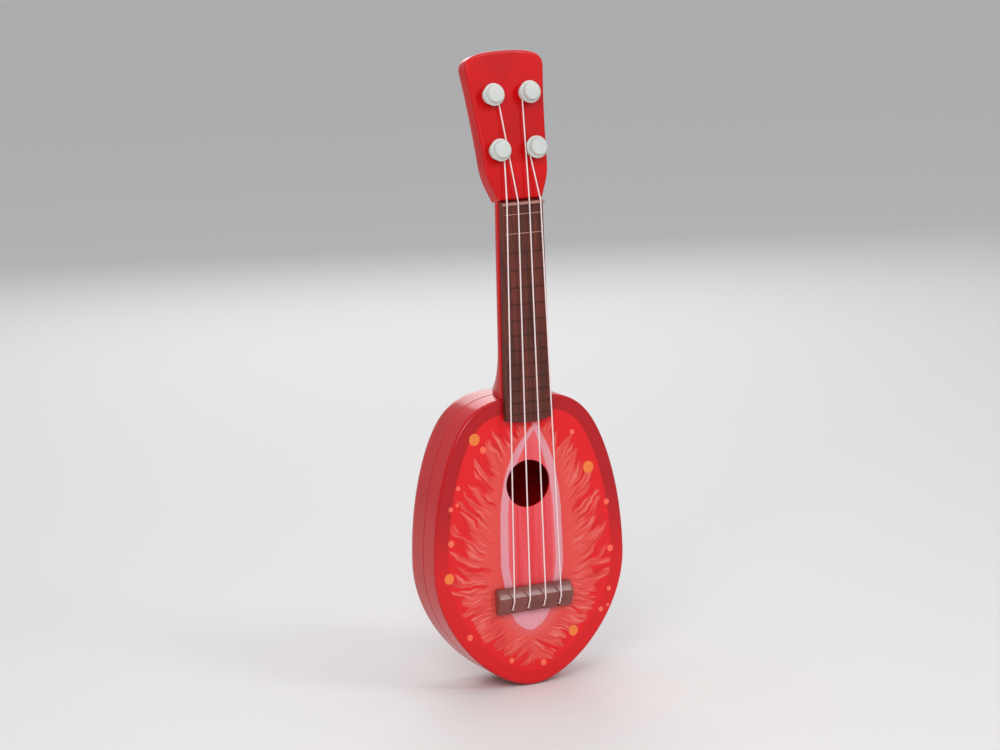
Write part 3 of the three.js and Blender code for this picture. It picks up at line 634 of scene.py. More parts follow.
# %% The picture on the face
def printed_face():
    """The strawberry slice, built from soft masks laid over each other."""
    finish = Finish("face_red", 0.22, Specular_IOR_Level=0.35)
    x, y, z = finish.split(finish.place)
    inset = finish.node("Attribute", {"attribute_name": "inset"}, [], "Fac")
    waver = finish.noise(finish.joined(x, 0.0, z), 0.06, 3.0) - 0.5
    fine = finish.noise(finish.joined(x, 3.0, z), 0.35, 3.0) - 0.5
    off, rise = almond(x + waver * 1.2, z)

    # Strokes: noise drawn out along the stroke lines, broader on the right than on the left.
    right = x.fade(-1.0, 1.0)
    bend = finish.noise(finish.joined(x, 5.0, z), 0.075, 2.0) - 0.5
    lines = stroke_lines(x, z) + bend * 9.0
    along = x.size() * 0.055 + right * 7.3
    broad = finish.noise(finish.joined(lines * (0.3 - right * 0.1), along, 0.0), 1.0, 1.0, 0.3)
    bristle = finish.noise(finish.joined(lines * 0.62, along * 1.3, 4.0), 1.0, 1.5, 0.4)
    limit = 7.5 + z.fade(78.0, 142.0) * 9.5 + z.fade(66.0, 36.0) * 4.5
    start = (off - 2.3).most(0.0)
    out = start / (start + (inset - limit + (broad - 0.5) * 14.0).most(0.0) + 0.01)
    strokes = (broad - 0.5) * 2.6 + (bristle - 0.5) * 0.5 + 0.5 + z.fade(66.0, 50.0) * 0.35
    cover = (strokes - (out - 0.25) * 1.15).fade(-0.18, 0.2) * out.fade(1.0, 0.86)

    flesh = colour(228, 18, 26)
    coral = colour(230, 78, 72)
    pale = colour(238, 138, 126)
    ribbon = colour(228, 156, 168)
    base = finish.blend(cover * 0.9, flesh, coral)
    base = finish.blend(bristle.fade(0.52, 0.68) * cover * out.fade(0.1, 0.4) * 0.5, base, pale)
    furrow = bristle.fade(0.5, 0.36) * out.fade(0.15, 0.45) * out.fade(1.0, 0.9)
    base = finish.blend(furrow * 0.55, base, colour(206, 26, 30))

    # Inside the core: coral with upright streaks, redder in its middle and paler by its line.
    grain = finish.noise(finish.joined(x * 0.36, 0.0, z * 0.012), 1.0, 3.0)
    middle = finish.blend(grain.fade(0.38, 0.62), colour(235, 90, 96), colour(232, 64, 72))
    redder = (x - 2.0).size().fade(5.0, 1.0) * z.fade(110.0, 80.0)
    middle = finish.blend(redder * 0.6, middle, colour(236, 54, 64))
    middle = finish.blend(off.fade(-8.0, -2.0) * 0.4, middle, colour(238, 110, 114))
    base = finish.blend(off.fade(0.3, -0.3), base, middle)

    # The core's pale line thins towards its point, and fills the core's foot.
    line = (off.size() - 2.35 + rise.fade(0.75, 1.0) * 1.1).fade(0.4, -0.3)
    foot = (z - 50.0).fade(0.6, -0.6) * (off - 2.3).fade(0.5, -0.3)
    halo = off.fade(8.0, 3.0) * z.fade(54.0, 46.0)
    base = finish.blend(halo * 0.5, base, colour(226, 110, 114))
    base = finish.blend(line.most(foot) * (0.93 + fine * 0.4), base, ribbon)

    # The darker skin round the edge, then the seeds on top of everything.
    skin_tone = finish.blend(z.fade(60.0, 110.0), colour(216, 16, 24), colour(180, 13, 22))
    base = finish.blend((inset - 8.4 + waver * 0.8).fade(0.3, -0.3), base, skin_tone)
    for seeds, tone in ((BIG_SEEDS, colour(240, 126, 58)), (SMALL_SEEDS, colour(248, 108, 82))):
        mask = None
        for seed_x, seed_z, radius in seeds:
            gap = ((x - seed_x) * (x - seed_x) * 1.12 + (z - seed_z) * (z - seed_z)).root() - radius
            dot = (gap + fine * 0.5).fade(0.22, -0.22)
            mask = dot if mask is None else mask.most(dot)
        base = finish.blend(mask, base, tone)
    base = finish.blend((y - FACE).fade(0.6, 1.2), base, colour(200, 10, 16))

    finish.give("Base Color", base)
    finish.give("Roughness", 0.22 + fine * 0.1)
    finish.bump(finish.noise(finish.place, 120.0, 2.0) + bristle * 0.4, 0.2, 0.03)
    return finish.material


FACE_RED = printed_face()
print("the printed face has", len(FACE_RED.node_tree.nodes), "nodes")

# %% [markdown]
# ## The body's outline
# Both shells of the body share one egg-shaped outline, with a round foot and a flat top where the
# neck begins. A few points joined by straight lines would show corners in the gloss. Three long
# curves meet with the same direction, so the edge is smooth all the way round.

# %% The body's outline
SHOULDER = np.array([41.0, BODY_LENGTH - 16.0])
SLOPE = np.array([math.cos(math.radians(56)), -math.sin(math.radians(56))])
WIDEST = 72.0
HOLE_Z, HOLE_R = 117.0, 13.5


def body_outline(count=288):
    """An egg: a round foot, a long curve to the shoulder and a flat top, mirrored left to right."""
    low = bezier((0, 0), (0.405 * BODY_HALF, 0), (BODY_HALF, 0.48 * WIDEST), (BODY_HALF, WIDEST))
    rise = 0.45 * (SHOULDER[1] - WIDEST)
    high = bezier((BODY_HALF, WIDEST), (BODY_HALF, WIDEST + rise), SHOULDER + 17 * SLOPE, SHOULDER)
    top = bezier(SHOULDER, SHOULDER - 18.5 * SLOPE, (0.4 * SHOULDER[0], BODY_LENGTH), (0, BODY_LENGTH))
    right = np.vstack([low, high, top, [(0, BODY_LENGTH)]])
    return even(mirrored(right)[:-1], count)


EGG = body_outline()


def half_width(z):
    """Half the body's width at a height, read off the outline's right side."""
    right = EGG[:len(EGG) // 2 + 1]
    return float(np.interp(z, right[:, 1], right[:, 0]))


print("the body is", round(2 * half_width(WIDEST), 1), "mm wide and", round(BODY_LENGTH, 1), "mm long")

# %% [markdown]
# ## The body's front
# The front shell is a tray with a sound hole. A solid could be hollowed and bored by booleans, but
# then the face would have long thin triangles that spoil the gloss. Because of the hole its surface
# can be one closed ring, like a flattened doughnut: out across the face, round the edge, down the
# side to the seam, back up inside, and across to the hole again. Bosses for the screws stand in it.

# %% The front shell
BOSS_INSET = 12
SCREW_HEIGHTS = (24, 82, 136)
SCREW_PLACES = [(sign * (half_width(z) - BOSS_INSET), z) for z in SCREW_HEIGHTS for sign in (-1, 1)]
FRONT_END = SEAM - GAP / 2
BACK_START = SEAM + GAP / 2


def front_shell():
    """Rings of the front shell. Across the face they blend from the hole's circle to the outline:
    ring = hole + (outline - hole) * mix. Round each edge they follow a quarter circle."""
    angle = np.arctan2(EGG[:, 1] - HOLE_Z, EGG[:, 0])
    around = np.stack([np.cos(angle), np.sin(angle)], -1)

    def hole(radius, depth):
        return upright(np.array([0, HOLE_Z]) + radius * around, FACE + depth)

    def edge(inset, depth):
        return upright(drawn_in(EGG, inset), FACE + depth)

    def across(low, high, depth, mixes):
        inner, outer = hole(low, depth), edge(high, depth)
        return [inner + (outer - inner) * mix for mix in mixes]

    side = FRONT_END - FACE
    rings = [hole(HOLE_R, WALL - 0.4), hole(HOLE_R, 0.9)]
    rings += [hole(HOLE_R + 0.5 * (1 - math.cos(a)), 0.5 * (1 - math.sin(a))) for a in turn(0, 90, 5)]
    rings += across(HOLE_R + 0.5, 2.2, 0, [0.006, *np.linspace(0.03, 0.985, 26), 0.997])
    rings += [edge(2 * (1 - math.sin(a)), 2 * (1 - math.cos(a))) for a in turn(0, 90, 8)]
    rings += [edge(0, depth) for depth in np.linspace(2.4, side - 0.5, 4)]
    rings += [edge(0.4 * (1 - math.cos(a)), side - 0.4 * (1 - math.sin(a))) for a in turn(0, 90, 4)]
    rings += [edge(WALL, side), edge(WALL, side - 1), edge(WALL, WALL + 1.2), edge(WALL + 0.3, WALL + 0.3),
              edge(WALL + 1.2, WALL)]
    rings += across(HOLE_R + 0.6, WALL + 2, WALL, [0.9, 0.6, 0.3, 0.01])
    return np.array(rings)


shell_rings = front_shell()
print("the front shell is a stack of", len(shell_rings), "rings")

# %% [markdown]
# ## Bosses and the distance to the edge
# Six hollow bosses inside the front shell take the screws. They could be joined on by a boolean, but
# nobody sees where they meet the shell, so they are only sunk a little into it. The printed skin has
# to know how far a point lies from the body's edge. A shader can't easily measure the way to a free
# curve, so it is measured here and stored in the mesh.

# %% Bosses and the finished front
def boss(x, z, radius, bore, start, end, floor):
    """A hollow boss as a closed profile turned about its axis: outside, rim, bore and floor."""
    profile = [(0.4, start), (radius, start), (radius, end - 0.3), (radius - 0.3, end), (bore, end),
               (bore, floor), (0.4, floor)]
    u = np.linspace(0, 2 * math.pi, 32, endpoint=False)
    rings = [np.stack([x + r * np.sin(u), np.full(32, y), z + r * np.cos(u)], -1) for r, y in profile]
    return skin(rings, closed=True)


shell_shape = skin(shell_rings, closed=True)
bosses = [boss(x, z, 3.7, 1.3, FACE + WALL - 0.3, FRONT_END, FACE + WALL + 2) for x, z in SCREW_PLACES]
shell_mesh = mesh_of("body_front", [shell_shape, *bosses])


def mark_inset(mesh):
    """Stores each corner's distance from the outline, in millimetres, as the attribute `inset`."""
    corners = np.zeros(len(mesh.vertices) * 3, np.float32)
    mesh.vertices.foreach_get("co", corners)
    flat = corners.reshape(-1, 3)[:, [0, 2]] / MM
    fine = even(EGG, 1200)
    distance = np.concatenate([
        np.sqrt(((block[:, None] - fine[None]) ** 2).sum(-1).min(1)) for block in np.array_split(flat, 24)])
    mesh.attributes.new("inset", "FLOAT", "POINT").data.foreach_set("value", distance.astype(np.float32))


mark_inset(shell_mesh)
piece("body_front", shell_mesh, FACE_RED, ["front_shell"])

# %% [markdown]
# ## The body's back
# The back shell is a bowl with a wide rolled edge, and a lip stands up from its rim to sit inside
# the front shell. It could be a solid with a solidify modifier, but that can't make the lip. One
# stack of rings goes from the middle of the back, round the roll, over the rim and the lip, and back
# along the inside. The columns for the six screws are joined on and their wells cut by booleans.

# %% The back shell
def back_shell():
    """Rings from the middle of the flat back, over the rolled edge, down to the rim and back inside.
    The roll is a quarter circle: inset r (1 - sin a), and r (1 - cos a) short of the flat back."""
    roll = 8.0

    def edge(inset, y):
        return upright(drawn_in(EGG, inset), y)

    def towards(inset, y, mix):
        ring = edge(inset, y)
        return ring.mean(0) + (ring - ring.mean(0)) * mix

    rings = [towards(roll + 0.6, BACK, mix) for mix in (0.05, 0.5, 0.97)]
    rings += [edge(roll * (1 - math.sin(a)), BACK - roll * (1 - math.cos(a))) for a in turn(0, 90, 14)]
    rings += [edge(0, y) for y in np.linspace(BACK - roll - 1, BACK_START + 0.5, 3)]
    rings += [edge(0.4 * (1 - math.cos(a)), BACK_START + 0.4 * (1 - math.sin(a))) for a in turn(0, 90, 4)]
    lip_out, lip_in = WALL + GAP, WALL + GAP + 1.4
    rings += [edge(lip_out - 0.05, BACK_START), edge(lip_out, BACK_START - 0.1), edge(lip_out, SEAM - 2.7),
              edge(lip_out + 0.3, SEAM - 3), edge(lip_in - 0.3, SEAM - 3), edge(lip_in, SEAM - 2.7),
              edge(lip_in, BACK_START + 4), edge(WALL, BACK_START + 5.5)]
    inner = roll - WALL
    rings += [edge(WALL + inner * (1 - math.cos(a)), BACK - WALL - inner * (1 - math.sin(a)))
              for a in turn(0, 90, 8)]
    rings += [towards(roll + 0.6, BACK - WALL, mix) for mix in (0.97, 0.5, 0.05)]
    return skin(rings)


WELL_DEPTH, WELL_R, SHANK_R = 9.0, 2.8, 1.3
COLUMN_R = 4.7
column = lathe([(COLUMN_R, BACK_START), (COLUMN_R, BACK - WALL + 1)], 40)
well = lathe([(SHANK_R, BACK_START - 5), (SHANK_R, BACK - WELL_DEPTH), (WELL_R, BACK - WELL_DEPTH),
              (WELL_R, BACK - 0.3), (WELL_R + 0.3, BACK), (WELL_R + 0.3, BACK + 3)], 40)
columns = [moved(column, x, z) for x, z in SCREW_PLACES]
wells = [moved(well, x, z) for x, z in SCREW_PLACES]
back_mesh = carved(mesh_of("body_back", [back_shell()]), ("UNION", columns), ("DIFFERENCE", wells))
piece("body_back", back_mesh, BODY_RED, ["back_shell"])

# %% [markdown]
# ## The neck and the headstock
# The neck and the headstock are one long moulding in two halves, front and rear. The headstock
# leans back by twelve degrees. It could be drawn leaning, point by point. It is made flat in a frame
# of its own and then turned at the nut, because the pegs, holes and screws can use that frame too.

# %% The headstock's frame and outline
TILT = math.radians(12)
RISE, HEAD_THICK, HEAD_SEAM, HEAD_LENGTH = 2.7, 11.0, 5.5, 84.0
HEAD_FRAME = np.array([[1, 0, 0, 0],
                       [0, math.cos(TILT), math.sin(TILT), FACE - RISE],
                       [0, -math.sin(TILT), math.cos(TILT), NUT],
                       [0, 0, 0, 1]])
PEGS = [(-11.1, 59.2), (11.1, 59.2), (-11.1, 28.4), (11.1, 28.4)]
NUT_HALF, HEEL_HALF, NECK_DEPTH, NECK_SEAM, HEEL_DEPTH = 13.4, 15.0, 13.0, 6.0, 29.0
NECK_STRAIGHT = 1.5


def head_outline():
    """Flared above the nut, slowly wider to round corners, and a gently arched top."""
    foot, waist, waist_at, top, corner = 0.7, 19.4, 22.0, 23.8, 73.0
    side = [bezier((NUT_HALF, foot), (NUT_HALF + 2.4, 0.32 * waist_at), (waist - 0.4, 0.55 * waist_at),
                   (waist, waist_at)),
            bezier((waist, waist_at), (waist + 0.8, 38), (waist + 2.2, 56), (top, corner)),
            bezier((top, corner), (top + 1.2, HEAD_LENGTH - 3), (0.8 * top, HEAD_LENGTH), (0, HEAD_LENGTH)),
            [(0, HEAD_LENGTH)]]
    return even(mirrored(np.vstack([[(0, foot)], *side]))[:-1], 200)


head_slab = placed(plate(head_outline(), 0, HEAD_THICK, 1.5, 1.5, 7), HEAD_FRAME)
print("the headstock is", round(np.ptp(head_outline()[:, 0]), 1), "mm wide")

# %% [markdown]
# ## The neck's two lofts
# The neck is flat in front, under the board, and round behind, and near the body it swells into a
# heel. A box with a subdivision modifier could be pulled into that shape. A loft is used, one
# section after another up the neck, since width and depth can then be given as plain formulas.

# %% The neck's sections
def neck_half(z):
    """Half the neck's width, which narrows evenly from the heel to the nut."""
    return np.interp(z, [BODY_LENGTH, NUT], [HEEL_HALF, NUT_HALF])


def neck_side(z, y):
    """The neck's half width, y behind the face: straight at first, then half an ellipse, so that
    (x / half)^2 + ((y - straight) / (depth - straight))^2 = 1."""
    down = np.clip((y - NECK_STRAIGHT) / (back_depth(z) - NECK_STRAIGHT), 0, 1)
    return neck_half(z) * np.sqrt(1 - down ** 2)


def front_loft():
    """The flat-topped front half of the neck, along z: round upper corners and curving sides."""
    rings = []
    for z in np.linspace(BODY_LENGTH - 2, NUT + 9, 30):
        half = neck_half(z)
        corner = [(half - 0.6 * (1 - math.cos(a)), FACE + 0.6 * (1 - math.sin(a))) for a in turn(0, 90, 4)]
        side = [(neck_side(z, y), FACE + y) for y in (NECK_SEAM - 0.15, 4.8, 3.6, 2.4, 1.5)]
        right = [(neck_side(z, NECK_SEAM) - 0.15, FACE + NECK_SEAM), *side, *corner]
        outline = np.array(right + [(-x, y) for x, y in right[::-1]])
        # Above the nut the flat top sinks to 1.2 mm, so that it stays inside the headstock.
        if z > NUT - 0.2:
            outline[:, 1] += np.maximum(0, 1.2 - (outline[:, 1] - FACE))
        rings.append(np.column_stack([outline, np.full(len(outline), z)]))
    return skin(rings)


def back_depth(z):
    """How deep the neck's back lies behind the face: the heel curves into the shaft, and the shaft
    fades into the headstock above the nut."""
    heel = np.clip((BODY_LENGTH + 30 - z) / 28, 0, 1)
    volute = np.clip((z - NUT + 8) / 20, 0, 1)
    deeper = (HEEL_DEPTH - NECK_DEPTH) * heel ** 2.2
    shallower = (NECK_DEPTH - HEAD_THICK + 1.5) * volute ** 2
    return NECK_DEPTH + deeper - shallower


def back_loft():
    """The round rear half: the rest of the neck's ellipse, behind the seam."""
    rings = []
    top = FACE + NECK_SEAM + GAP
    heel_heights = np.linspace(BODY_LENGTH - 2, BODY_LENGTH + 32, 26)
    shaft_heights = np.linspace(BODY_LENGTH + 36, NUT + 12, 34)
    for z in np.concatenate([heel_heights, shaft_heights]):
        half, round_depth = neck_half(z), back_depth(z) - NECK_STRAIGHT
        first = math.asin((NECK_SEAM + GAP + 0.2 - NECK_STRAIGHT) / round_depth)
        u = np.linspace(first, math.pi - first, 43)
        curve = np.column_stack([half * np.cos(u), FACE + NECK_STRAIGHT + round_depth * np.sin(u)])
        edge = half * math.cos(first) - 0.15
        outline = np.vstack([[(edge, top)], curve, [(-edge, top)]])
        rings.append(np.column_stack([outline, np.full(len(outline), z)]))
    return skin(rings)


neck_lofts = [front_loft(), back_loft()]
print("the neck's lofts have", len(neck_lofts[0][1]), "and", len(neck_lofts[1][1]), "faces")

# %% [markdown]
# ## Where the two halves meet
# The halves meet in one thin dark line along the side. They could be drawn apart, each with its own
# edge, but then the two edges might not agree. Both are cut here by one tool, just under 0.3 mm
# apart, so the line is even all along. A low tongue on the rear half stops light from shining through it.

# %% The joint, the holes and the two halves
def front_side(shift):
    """A tool holding all that lies in front of the joint between the two halves, and `shift` more.
    The joint is flat behind the board. Above the height where the two planes meet it leans back in
    the headstock's own plane: y = seam / cos a - rise + (z - nut) tan a."""
    lean, top = math.tan(TILT), NUT + HEAD_LENGTH + 20
    start = HEAD_SEAM / math.cos(TILT) - RISE
    meet = NUT + (NECK_SEAM - start) / lean
    low = BODY_LENGTH - 20
    profile = np.array([(-40, low), (NECK_SEAM + shift, low), (NECK_SEAM + shift, meet),
                        (start + (top - NUT) * lean + shift, top), (-40, top)]) + [FACE, 0]
    return skin([np.column_stack([np.full(5, x), profile]) for x in (-60.0, 60.0)])


def block(low, high):
    """A plain box between two corners."""
    (x0, y0, z0), (x1, y1, z1) = low, high
    ring = np.array([(x0, y0), (x1, y0), (x1, y1), (x0, y1)], float)
    return skin([np.column_stack([ring, np.full(4, z)]) for z in (z0, z1)])


def round_tool(x, z, profile, matrix):
    """A turned shape set at a place across and up, and carried by a matrix."""
    return placed(moved(lathe(profile, 40), x, z), matrix)


def screw_well(z, start, seat, end, matrix):
    """A tool for a stepped hole: as wide as a shank up to the seat, and as a head from there on."""
    return round_tool(0, z, [(SHANK_R, start), (SHANK_R, seat), (WELL_R, seat), (WELL_R, end)], matrix)


PEG_HOLE_R, SEAT = 3.1, 2.4
NECK_SCREWS, HEAD_SCREW = (196, 248), 44.6
TONGUE_START, TONGUE_END = 0.04, GAP + 0.6
peg_holes = [round_tool(x, z, [(PEG_HOLE_R, -6), (PEG_HOLE_R, 18)], HEAD_FRAME) for x, z in PEGS]
body_room = plate(drawn_in(EGG, -GAP), FACE - 20, BACK + 20)
neck_seat = FACE + NECK_DEPTH - SEAT
neck_wells = [screw_well(z, FACE + 1.2, neck_seat, FACE + 40, np.eye(4)) for z in NECK_SCREWS]
neck_wells.append(screw_well(HEAD_SCREW, 1.2, HEAD_THICK - SEAT, HEAD_THICK + 10, HEAD_FRAME))
# The headstock's tongue is a smaller copy of its outline, and the neck's is a bar that runs into it.
small_head = head_outline() * [0.88, 0.79] + [0, 15.6]
head_tongue = placed(plate(small_head, HEAD_SEAM + TONGUE_START, HEAD_SEAM + TONGUE_END,
                           0.02, 0.02, 2), HEAD_FRAME)
neck_tongue = block((-10.5, FACE + NECK_SEAM + TONGUE_START, BODY_LENGTH + 0.6),
                    (10.5, FACE + NECK_SEAM + TONGUE_END, NUT + 14.3))
neck_front_mesh = carved(mesh_of("neck_front", neck_lofts[:1]), ("UNION", [head_slab]),
                         ("INTERSECT", [front_side(0.005)]),
                         ("DIFFERENCE", [body_room]), ("DIFFERENCE", peg_holes))
neck_back_mesh = carved(mesh_of("neck_back", neck_lofts[1:]), ("UNION", [head_slab]),
                        ("DIFFERENCE", [front_side(GAP - 0.005)]), ("UNION", [head_tongue]),
                        ("UNION", [neck_tongue]),
                        ("DIFFERENCE", [body_room]), ("DIFFERENCE", peg_holes + neck_wells))
piece("neck_top", neck_front_mesh, NECK_RED, ["neck_front"])
piece("neck_rear", neck_back_mesh, NECK_RED, ["neck_back"])

# %% [markdown]
# ## The fretboard
# The board, its frets and the nut are one brown moulding. Its plate is long and tapered, with a
# bowed lower end. Its edge could be rounded by moving the outline along its normals, as elsewhere,
# but the rings would fold over each other at the two sharp lower corners and leave a crease. They
# are scaled towards the middle instead, which keeps their order.

# %% The board's plate
BOARD_END = 155.0
BOARD_HALF_NUT, BOARD_HALF_END = 12.8, 14.4
STRING_R = 0.4


def board_half(z):
    """Half the board's width, which narrows evenly from its lower end to the nut."""
    return np.interp(z, [BOARD_END, NUT], [BOARD_HALF_END, BOARD_HALF_NUT])


def board_outline():
    """Straight tapered sides, and a lower end that bows down by 2.2 mm."""
    u = np.linspace(0, 1, 24)
    foot = np.column_stack([BOARD_HALF_END * u, BOARD_END - 2.2 * (1 - u ** 2)])
    side = np.column_stack([np.linspace(BOARD_HALF_END, BOARD_HALF_NUT, 60),
                            np.linspace(BOARD_END, NUT - GAP, 60)])[1:]
    top = np.column_stack([BOARD_HALF_NUT * np.linspace(1, 0, 12), np.full(12, NUT - GAP)])[1:]
    return mirrored(np.vstack([foot, side, top]))[:-1]


def board_inset(outline, inset):
    """The outline scaled by 1 - inset / half its width and 1 - inset / half its length. Points moved
    along their normals would cross each other at the two sharp lower corners."""
    middle = (BOARD_END + NUT - GAP) / 2
    across = outline[:, 0] * (1 - inset / board_half(outline[:, 1]))
    along = middle + (outline[:, 1] - middle) * (1 - inset / (NUT - GAP - middle))
    return np.column_stack([across, along])


board = plate(board_outline(), FACE - BOARD_TOP, FACE - GAP, 1.5, 0.1, 8, board_inset)
print("the board's plate has", len(board[1]), "faces")

# %% [markdown]
# ## Frets and nut
# Fourteen low ridges and a nut with a groove for each string stand on the plate. They could be
# joined to it by booleans, which would cut the plate's long quads into slivers. Closed ridges that
# are half sunk into the plate look the same from outside and keep its shading calm.

# %% Frets and nut
def rod(z, half, radius, height):
    """A rod across the board with tapered ends, squashed to a low ridge: a section of
    (-height cos v, radius sin v) carried along x."""
    path_x = np.concatenate([[-half], np.linspace(-half + radius, half - radius, 12), [half]])
    swell = np.concatenate([[0.15], np.ones(12), [0.15]]) * radius
    v = np.linspace(0, 2 * math.pi, 14, endpoint=False)
    rings = []
    for x, s in zip(path_x, swell):
        y = FACE - BOARD_TOP - height * s / radius * np.cos(v)
        rings.append(np.column_stack([np.full(14, x), y, z + s * np.sin(v)]))
    return skin(rings)


def frets():
    """Fourteen ridges: the first 7.2 mm below the nut, then steps that start at 10.8 mm and shrink."""
    steps = np.concatenate([[7.2], 10.8 - 0.356 * np.arange(13)])
    return [rod(z, board_half(z) - 1.3, 0.42, 0.45) for z in NUT - np.cumsum(steps)]


NUT_SPREAD = 6.9


def nut_ridge():
    """A bar with a rounded top, along x. Its height dips at each string by 0.95 sqrt(1 - g^2), where
    g is the distance from the string over 0.75 mm."""
    x = np.linspace(-BOARD_HALF_NUT + 0.1, BOARD_HALF_NUT - 0.1, 241)
    strings = (np.arange(4) - 1.5) * NUT_SPREAD
    gap = np.abs(x[:, None] - strings).min(1)
    dip = np.clip(1 - (gap / 0.75) ** 2, 0, None) ** 0.5
    height = 1.6 - 0.95 * dip
    v = np.linspace(0, 2 * math.pi, 24, endpoint=False)
    across = np.sign(np.sin(v)) * np.abs(np.sin(v)) ** 0.6
    upward = np.maximum(np.cos(v), 0) ** 0.6
    rings = [np.column_stack([np.full(24, a), FACE - BOARD_TOP + 1.6 - (h + 1.6) * upward,
                              NUT - GAP - 1.05 + 0.95 * across]) for a, h in zip(x, height)]
    return skin(rings)


board_mesh = mesh_of("fretboard_moulding", [board, *frets(), nut_ridge()])
piece("fretboard_moulding", board_mesh, BOARD_BROWN, ["fretboard"])

# %% [markdown]
# ## The bridge
# The bridge is a bar with a rounded crest that lifts the strings off the face. A beveled box would
# be too plain for its uneven slopes. Its side profile is drawn once and carried along x, and shrinks
# a little at each end. Four slots let the strings in at its lower edge, and a pocket below hides
# their knots; both are cut last.

# %% The bridge
BRIDGE_HALF, BRIDGE_TOP, BRIDGE_LOW = (bridge_high.x / MM, bridge_high.z / MM, bridge_low.z / MM)
CREST, CREST_AT, BRIDGE_EDGE = 7.0, 52.3, 3.0


def slope(z):
    """Height of the bridge's lower slope above the face."""
    return BRIDGE_EDGE + (CREST - BRIDGE_EDGE) * (z - BRIDGE_LOW) / (CREST_AT - BRIDGE_LOW)


def bridge_section():
    """The side profile as (height above the face, z), with its corners rounded."""
    crest = bezier((slope(CREST_AT - 2.2), CREST_AT - 2.2), (CREST - 0.1, CREST_AT - 0.6),
                   (CREST + 0.1, CREST_AT + 0.5), (CREST - 0.9, CREST_AT + 2.0), 14)
    lower = rounded([(GAP, BRIDGE_LOW + 2), (GAP, BRIDGE_LOW), (BRIDGE_EDGE, BRIDGE_LOW),
                     (slope(BRIDGE_LOW + 2), BRIDGE_LOW + 2)], 0.5)[1:]
    upper = rounded([(CREST - 1.7, CREST_AT + 3.2), (BRIDGE_EDGE, BRIDGE_TOP), (GAP, BRIDGE_TOP),
                     (GAP, BRIDGE_TOP - 3)], 0.5)
    return np.vstack([lower, crest, upper])


def bridge_bar():
    """The section drawn along x; near each end it shrinks towards its middle by a quarter circle."""
    section = bridge_section()
    middle = np.array([2.4, (BRIDGE_LOW + BRIDGE_TOP) / 2])
    x = np.concatenate([[0.0], 0.7 * (1 - np.cos(turn(0, 90, 6)))[1:], [2.0, BRIDGE_HALF]])
    x = np.unique(np.round(x, 5))
    shrink = np.where(x < 0.7, 0.7 - np.sqrt(np.maximum(0.49 - (0.7 - x) ** 2, 0)), 0)
    left, right = zip(-BRIDGE_HALF + x, shrink), zip(BRIDGE_HALF - x[::-1], shrink[::-1])
    rings = []
    for a, s in list(left) + list(right)[1:]:
        ring = middle + (section - middle) * (1 - s * np.array([0.16, 0.12]))
        ring[:, 0] = np.maximum(ring[:, 0], GAP)
        rings.append(np.column_stack([np.full(len(ring), a), FACE - ring[:, 0], ring[:, 1]]))
    return skin(rings)


def string_slot(x):
    """A tool for the slot of one string, 1.6 mm wide, with its upper corners taken off."""
    outline = [(-0.8, -2), (0.8, -2), (0.8, 3.4), (0.5, 4.0), (-0.5, 4.0), (-0.8, 3.4)]
    return plate(np.array(outline) + [x, BRIDGE_LOW], FACE - 12, FACE + 1, 0.01, 0.01, 2)


BRIDGE_SPREAD = 9.8
STRING_X = [(i - 1.5) * BRIDGE_SPREAD for i in range(4)]
slots = [string_slot(x) for x in STRING_X]
pocket = block((-BRIDGE_HALF + 2.5, FACE - 2.9, BRIDGE_LOW + 1.4), (BRIDGE_HALF - 2.5, FACE + 1, 51))
bridge_mesh = carved(mesh_of("bridge_bar", [bridge_bar()]), ("DIFFERENCE", [pocket]), ("DIFFERENCE", slots))
piece("bridge_bar", bridge_mesh, BRIDGE_MAUVE, ["bridge"])

# %% [markdown]
# ## The strings
# Each nylon string runs from a knot under the bridge, up through its slot, over the crest and the
# nut, and winds twice round its peg. A bevelled curve object could draw it. A tube along a computed
# path is used, because the length of that path can be measured and printed. The bends at the bridge
# are smoothed with a spline, and the turns are a helix.

# %% The strings' route
CLEAR = GAP + STRING_R
POST_R, BASE_HEIGHT = 2.8, 1.1
STRING_PEG = [2, 0, 1, 3]


def spline(points, steps=8):
    """A Catmull-Rom curve through points: each span is a cubic that leaves along its neighbours."""
    p = np.vstack([2 * points[0] - points[1], points, 2 * points[-1] - points[-2]])
    t = np.linspace(0, 1, steps, endpoint=False)[:, None]
    spans = []
    for a, b, c, d in zip(p[:-3], p[1:-2], p[2:-1], p[3:]):
        square, cube = 2 * a - 5 * b + 4 * c - d, 3 * b - a - 3 * c + d
        spans.append(0.5 * (2 * b + (c - a) * t + square * t ** 2 + cube * t ** 3))
    return np.vstack([*spans, points[-1:]])


def wound(nut_point, peg_x, peg_z):
    """The turns on a peg, in the headstock's frame. They start where a line from the nut touches a
    circle of the post's radius, and climb 1.1 mm a turn."""
    radius, height = POST_R + CLEAR, BASE_HEIGHT + CLEAR
    way = 1 if peg_x < 0 else -1
    dx, dz = nut_point[0] - peg_x, nut_point[2] - peg_z
    start = math.atan2(dz, dx) + way * math.acos(radius / math.hypot(dx, dz))
    u = np.linspace(0, 2, 97)
    angle = start + way * 2 * math.pi * u
    return np.column_stack([peg_x + radius * np.cos(angle), -height - (2 * STRING_R + GAP) * u,
                            peg_z + radius * np.sin(angle)])


def knot(x, z):
    """An overhand knot as a trefoil: (sin t + 2 sin 2t, -1.3 sin 3t, cos t - 2 cos 2t), scaled down."""
    t = np.linspace(0, 2 * math.pi, 61)
    path = np.column_stack([np.sin(t) + 2 * np.sin(2 * t), -1.3 * np.sin(3 * t),
                            np.cos(t) - 2 * np.cos(2 * t)])
    return tube(path * 0.28 + [x, FACE - 1.5, z], 0.34, 8)


